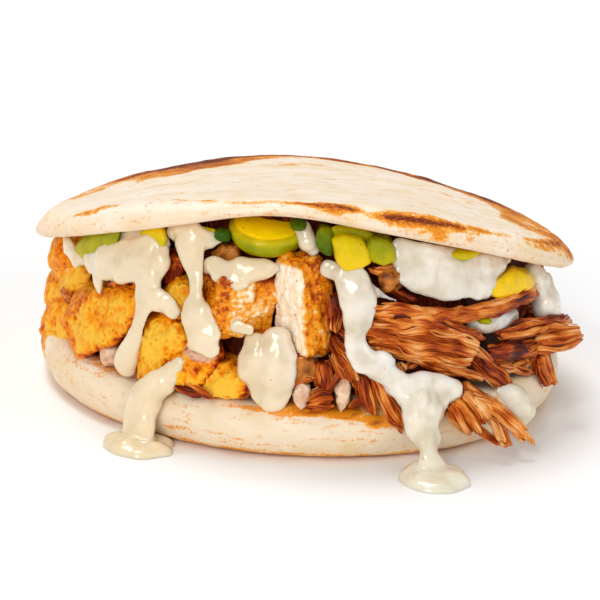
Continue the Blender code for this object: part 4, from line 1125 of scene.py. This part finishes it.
# Node, piece, flatness, puddle, then each run's stops of across, height, reach and width
SAUCES = [
    ("sauce_left", "sauce_left_sheet", 0.45, (), [
        [
            (-48.4, 33.4, 55.2, 3), (-45, 34.4, 55.8, 5), (-40.6, 36, 56, 6), (-36.9, 38, 56, 7.4),
            (-31.5, 40, 55.8, 7.4),
        ],
        [(-38, 41, 54.6, 4.4), (-34.8, 42.4, 54.6, 5.6), (-31.5, 42.8, 54.4, 6), (-29.2, 42.2, 54.6, 4)],
        [
            (-45, 33, 55.8, 3.6), (-41.3, 34.6, 56.4, 5), (-36.8, 36, 56.8, 6), (-32.4, 37.6, 57, 6.6),
            (-29.6, 39, 56.8, 5),
        ],
        [(-43.6, 33, 56.4, 3), (-42.9, 30.8, 57, 2.4), (-42.4, 29, 57.2, 1.4)],
        [(-29.4, 40.6, 56, 4.4), (-28.7, 38.4, 56.8, 3.2), (-29.6, 36.2, 57.2, 2.4)],
        [(-32.4, 38, 57, 7.4), (-31.6, 35, 57.4, 6.2), (-31.2, 32.4, 57.8, 5.6)],
        [(-32.4, 31.4, 58, 4.6), (-30, 31.4, 58.2, 5.2), (-27.6, 31, 58.2, 4.6), (-26, 29.6, 58, 3.4)],
        [(-52.4, 37.6, 54.6, 3), (-50.6, 35, 56, 3.8), (-48, 33.2, 56.4, 3.6)],
        [(-31.8, 31, 58, 4.6), (-32.4, 27.4, 58.4, 3.4), (-33.2, 23.8, 58.4, 3), (-34.4, 20.2, 58.2, 3.6)],
        [(-34.4, 20.2, 58.2, 3.6), (-35.3, 17.2, 57.8, 4.6), (-35.9, 15, 57.6, 4.6)],
    ]),
    ("sauce_middle", "sauce_middle_stream", 0.45, (), [
        [
            (-26.8, 45.6, 54.2, 3.4), (-23.4, 45.6, 54.6, 5.2), (-20, 45.2, 54.6, 4.8),
            (-17.2, 45.9, 54, 2.8),
        ],
        [(-22.8, 44, 55.4, 6.6), (-22.4, 41.6, 56, 5), (-21.8, 39.2, 56.6, 3.8), (-21.5, 36.8, 57.2, 2.8)],
        [
            (-21.5, 36.8, 57.2, 2.8), (-21.4, 34.4, 57.8, 2.6), (-21.3, 32, 58.2, 4.6),
            (-20.6, 29.6, 58.6, 6.4),
        ],
        [(-20.6, 29.6, 58.6, 6.4), (-19.6, 27, 59, 6.8), (-18.8, 24.8, 59.2, 6), (-17.8, 23.4, 59.2, 3.8)],
        [(-20.4, 25.4, 59.2, 3.6), (-21.2, 23.6, 59, 2.4)],
    ]),
    ("sauce_drip_left", "sauce_drip_left_poured", 0.6, (-31.4, -53.5, 7.7, 2.6), [
        [(-24, 19, 58.6, 2.8), (-25.2, 16.8, 58.9, 4.2), (-26.8, 14.8, 59.2, 5.4), (-28.6, 13, 59.6, 6.4)],
        [(-28.6, 13.2, 59.6, 6), (-30.5, 10.3, 60.4, 7.4), (-31.8, 7, 61.2, 7.8), (-31.8, 3.5, 61.8, 7.6)],
    ]),
    ("sauce_bulge_middle", "sauce_bulge_poured", 0.55, (), [
        [(-4, 26, 56.4, 5), (-3.8, 23.6, 57, 6.8), (-3.7, 20.8, 57.4, 7.2), (-3.8, 18, 57.4, 6.4)],
        [(-8.6, 24.6, 56.6, 4.6), (-8.6, 22.2, 57.2, 6.6), (-8, 19.6, 57.5, 6.6), (-6.6, 17.2, 57.2, 6.2)],
        [(-5, 18.4, 57.2, 7.4), (-4.4, 16, 57, 6.6), (-4.6, 14.4, 56.8, 6.4)],
        [(-7.6, 16.4, 57.2, 4.4), (-6.6, 14.4, 57, 4.2)],
    ]),
    ("sauce_right", "sauce_right_stream", 0.5, (29.9, -63.8, 7.7, 2.8), [
        [(6, 41.6, 55, 3.6), (9.4, 40.4, 56, 4.6), (12.4, 39.2, 56.4, 4.4), (15.4, 37.4, 56.8, 3)],
        [(15.4, 37.4, 56.8, 3), (18, 36, 56.8, 1.8), (20, 35.2, 56.8, 1.2)],
        [(9.6, 40.4, 56.4, 5.4), (11.4, 37.8, 57.2, 7), (12.8, 34.6, 57.8, 7), (12.8, 31.2, 58.2, 5.6)],
        [(12.8, 31, 58.2, 5), (12.2, 28, 58.4, 4.2), (12.8, 25.6, 58.6, 4.6), (14.4, 22.8, 58.8, 5.4)],
        [(14.4, 23.2, 58.8, 5), (17.2, 21, 59, 4.8), (20.4, 18.8, 59.4, 5), (23.4, 16.8, 59.8, 5.6)],
        [(15.8, 22.6, 58.6, 4.4), (18.4, 23.6, 58.8, 3.2), (20.2, 22.6, 58.8, 1.8)],
        [(20.4, 17.2, 59.2, 4), (24, 16.8, 59.8, 6.2), (28.4, 16.2, 60.2, 7), (33.4, 15.2, 60, 4.6)],
        [(23.4, 15.6, 60, 4.6), (26.6, 13.8, 60.6, 7.4), (30, 13.6, 60.6, 5.6)],
        [(26.6, 14, 60.8, 8), (27.2, 11.6, 61.2, 9.4), (27.4, 9, 61.8, 8.4), (28.6, 7, 63.2, 5.4)],
        [(28.6, 7.4, 63.2, 5.4), (29.1, 5, 66.3, 3.6), (29.7, 2.6, 68.6, 5.4)],
    ]),
    ("sauce_upper_right", "sauce_upper_right_sheet", 0.45, (), [
        [
            (20, 45.8, 54, 3.4), (24.5, 44, 54.6, 4.6), (29.9, 42.2, 54.8, 5), (35.3, 40.8, 54.8, 4.6),
            (42, 39.6, 54.6, 3),
        ],
        [
            (20.8, 43.4, 54.8, 4), (24.7, 41.6, 55.4, 5.4), (30.1, 39.9, 55.8, 5.8),
            (35.5, 38.6, 55.8, 5.4), (40, 37.9, 55.2, 4),
        ],
        [
            (21, 40.6, 55.4, 3.6), (24.9, 38.8, 56, 5), (30.3, 37.2, 56.4, 5.4), (35.8, 36.3, 56.4, 5.2),
            (40.4, 35.6, 56, 3.6),
        ],
        [(27.6, 36.4, 56.4, 2.8), (31.2, 35.4, 56.8, 3.4), (34.8, 35.2, 56.8, 3.2), (39.6, 34.4, 56.4, 2)],
        [(44.6, 39.4, 54.6, 2), (42, 38.4, 55.2, 3), (40, 37, 55.8, 3.4)],
        [(29, 44, 53.6, 2.8), (37.5, 41.2, 53.8, 3), (44.5, 39.2, 54.2, 2.2)],
    ]),
    ("sauce_drip_right", "sauce_drip_right_poured", 0.6, (), [
        [(44.5, 11.6, 57.4, 2.4), (48.2, 9.6, 59.4, 4.8), (50.4, 6.8, 61, 4.8)],
        [(50.4, 6.8, 61, 4.8), (50.3, 4.4, 61.3, 2.8)],
    ]),
    ("sauce_right_edge", "sauce_right_edge_poured", 1, (), [
        [(50.5, 34.6, 55, 4), (51.6, 32, 56, 5.6), (52.8, 30, 56.6, 4.4)],
        [(53, 30.4, 56.4, 5), (54, 27.5, 57.8, 6.4), (54.8, 25.2, 58.4, 5)],
        [(54.8, 25.4, 58.2, 4.4), (56, 22.5, 59.3, 4.8)],
    ]),
    ("sauce_on_cube", "sauce_on_cube_poured", 0.6, (), [
        [(-19.6, 39.4, 55, 3), (-17.8, 40.2, 55.4, 4.2), (-15.2, 39.4, 56, 4.6), (-12.3, 39.4, 56, 4.6)],
        [(-12.6, 39.8, 55.8, 4.6), (-9.1, 40.2, 55.4, 4), (-6.2, 40.6, 55, 3.2), (-3.8, 41.2, 54.4, 2)],
        [(-16.4, 38.6, 56.4, 3.6), (-14.2, 37.6, 57, 4), (-12.2, 37.8, 57, 3.4)],
        [(-14.3, 29.3, 57, 2), (-12.2, 28.4, 57.5, 3.4), (-10.2, 28, 57.4, 2.6)],
    ]),
    ("sauce_upper_middle", "sauce_upper_middle_poured", 0.8, (), [
        [(0.2, 49.4, 52.6, 3.6), (1.2, 47, 53.6, 4)],
        [(1.2, 47, 53.6, 3.4), (2.4, 45.2, 53.6, 2.2)],
    ]),
]
for node, name, flat, pool, runs in SAUCES:
    shapes = [sauce_run(stops, flat) for stops in runs]
    if pool:
        shapes.append(puddle(*pool))
    serve(melted(name, shapes, 6), "sauce", node)
stops = [(37, 27.4, 54, 2.4), (41, 26.6, 55, 4.2), (46.5, 25.8, 54.6, 3)]
serve(melted("sauce_behind_beef", [sauce_run(stops, 0.6)], 6), "sauce")


def side_run(angle, width, length, sway):
    """A run at the side: it hangs from the upper half, narrows, and ends in a drop."""
    top = ceiling(angle) - 1.0
    share, wide = np.array([(0.0, 1.6), (0.35, 1.0), (0.7, 0.8), (1.0, 1.15)]).T
    turn = np.radians(angle + sway * share)
    x, y = SIDE_RUN_REACH * np.cos(turn), SIDE_RUN_REACH * np.sin(turn)
    line = curve(spread(x, y, top - length * share, wide * width), 40)
    t = np.linspace(0, 1, 40)
    half = 0.5 * line[:, 3] * np.sqrt(np.clip(1 - np.abs(2 * t - 1) ** 12, 0.02, 1))
    return tube(line[:, :3], half, 20, 0.6)[0]


# Angle, width, length, sway
SIDE_RUNS = [
    (14, 4, 9, 3), (38, 5, 6, -4), (66, 3.6, 11, 2), (97, 4.6, 7, 5), (128, 3.8, 10, -3), (158, 5, 7, 3),
]
serve(melted("sauce_round_the_side", [side_run(*values) for values in SIDE_RUNS], 7), "sauce")

# Floor, light and camera
#
# A plain white floor under a bright sky. Four far lamps with soft edges light the food: the main
# one from high above it, and three weaker ones from the front and the right.

FLOOR_SIZE = 6.0
floor_mesh = bpy.data.meshes.new("floor")
corners = [(x * FLOOR_SIZE / 2, y * FLOOR_SIZE / 2, 0) for x, y in ((-1, -1), (1, -1), (1, 1), (-1, 1))]
floor_mesh.from_pydata(corners, [], [(0, 1, 2, 3)])
floor = bpy.data.objects.new("floor", floor_mesh)
bpy.context.scene.collection.objects.link(floor)
paint, add, shade = new_material("matte white paint")
shade({"Base Color": "#FBFBFB", "Roughness": 0.7, "Specular IOR Level": 0.1})
floor_mesh.materials.append(paint)

world = bpy.data.worlds.new("bright studio")
world.use_nodes = True
fill(world.node_tree, world.node_tree.nodes["Background"], {"Color": "#FFFFFF", "Strength": 0.41})
bpy.context.scene.world = world


def lamp(name, way, power, size):
    """A far lamp that shines from this way and fills an angle of so many degrees."""
    light = bpy.data.lights.new(name, "SUN")
    light.energy = power
    light.angle = math.radians(size)
    holder = bpy.data.objects.new(name, light)
    holder.location = way
    holder.rotation_mode = "QUATERNION"
    holder.rotation_quaternion = Vector(way).to_track_quat("Z", "Y")
    bpy.context.scene.collection.objects.link(holder)


lamp("main", (-0.22, 0.19, 1.0), 1.45, 24)
lamp("front", (-0.3, -1.0, 0.42), 1.1, 26)
lamp("side", (0.9, -0.55, 0.35), 0.5, 40)
lamp("key", (-0.5, -1.0, 0.9), 0.28, 5)

PIXELS_PER_MM = 4.42
DISTANCE = 620.0
TILT_DOWN = math.radians(15.5)
ROLL = math.radians(3.4)
LOOK_AT = Vector((0, 0, 28))
MIDDLE = (301.0, 259.5)
IMAGE = 600.0
ahead = Vector((0, math.cos(TILT_DOWN), -math.sin(TILT_DOWN)))
level_up = Vector((1, 0, 0)).cross(ahead)
right = Vector((1, 0, 0)) * math.cos(ROLL) + level_up * math.sin(ROLL)
up = level_up * math.cos(ROLL) - Vector((1, 0, 0)) * math.sin(ROLL)
lens = bpy.data.cameras.new("camera")
lens.sensor_width = 36.0
lens.lens = PIXELS_PER_MM * DISTANCE / IMAGE * lens.sensor_width
lens.shift_x = (IMAGE / 2 - MIDDLE[0]) / IMAGE
lens.shift_y = (MIDDLE[1] - IMAGE / 2) / IMAGE
lens.clip_start, lens.clip_end = 0.01, 10.0
camera = bpy.data.objects.new("camera", lens)
place = (LOOK_AT - ahead * DISTANCE) * MM
rows = [[way[i] for way in (right, up, -ahead, place)] for i in range(3)]
camera.matrix_world = Matrix(rows + [(0, 0, 0, 1)])
bpy.context.scene.collection.objects.link(camera)
bpy.context.scene.camera = camera
bpy.context.scene.view_settings.view_transform = "Standard"
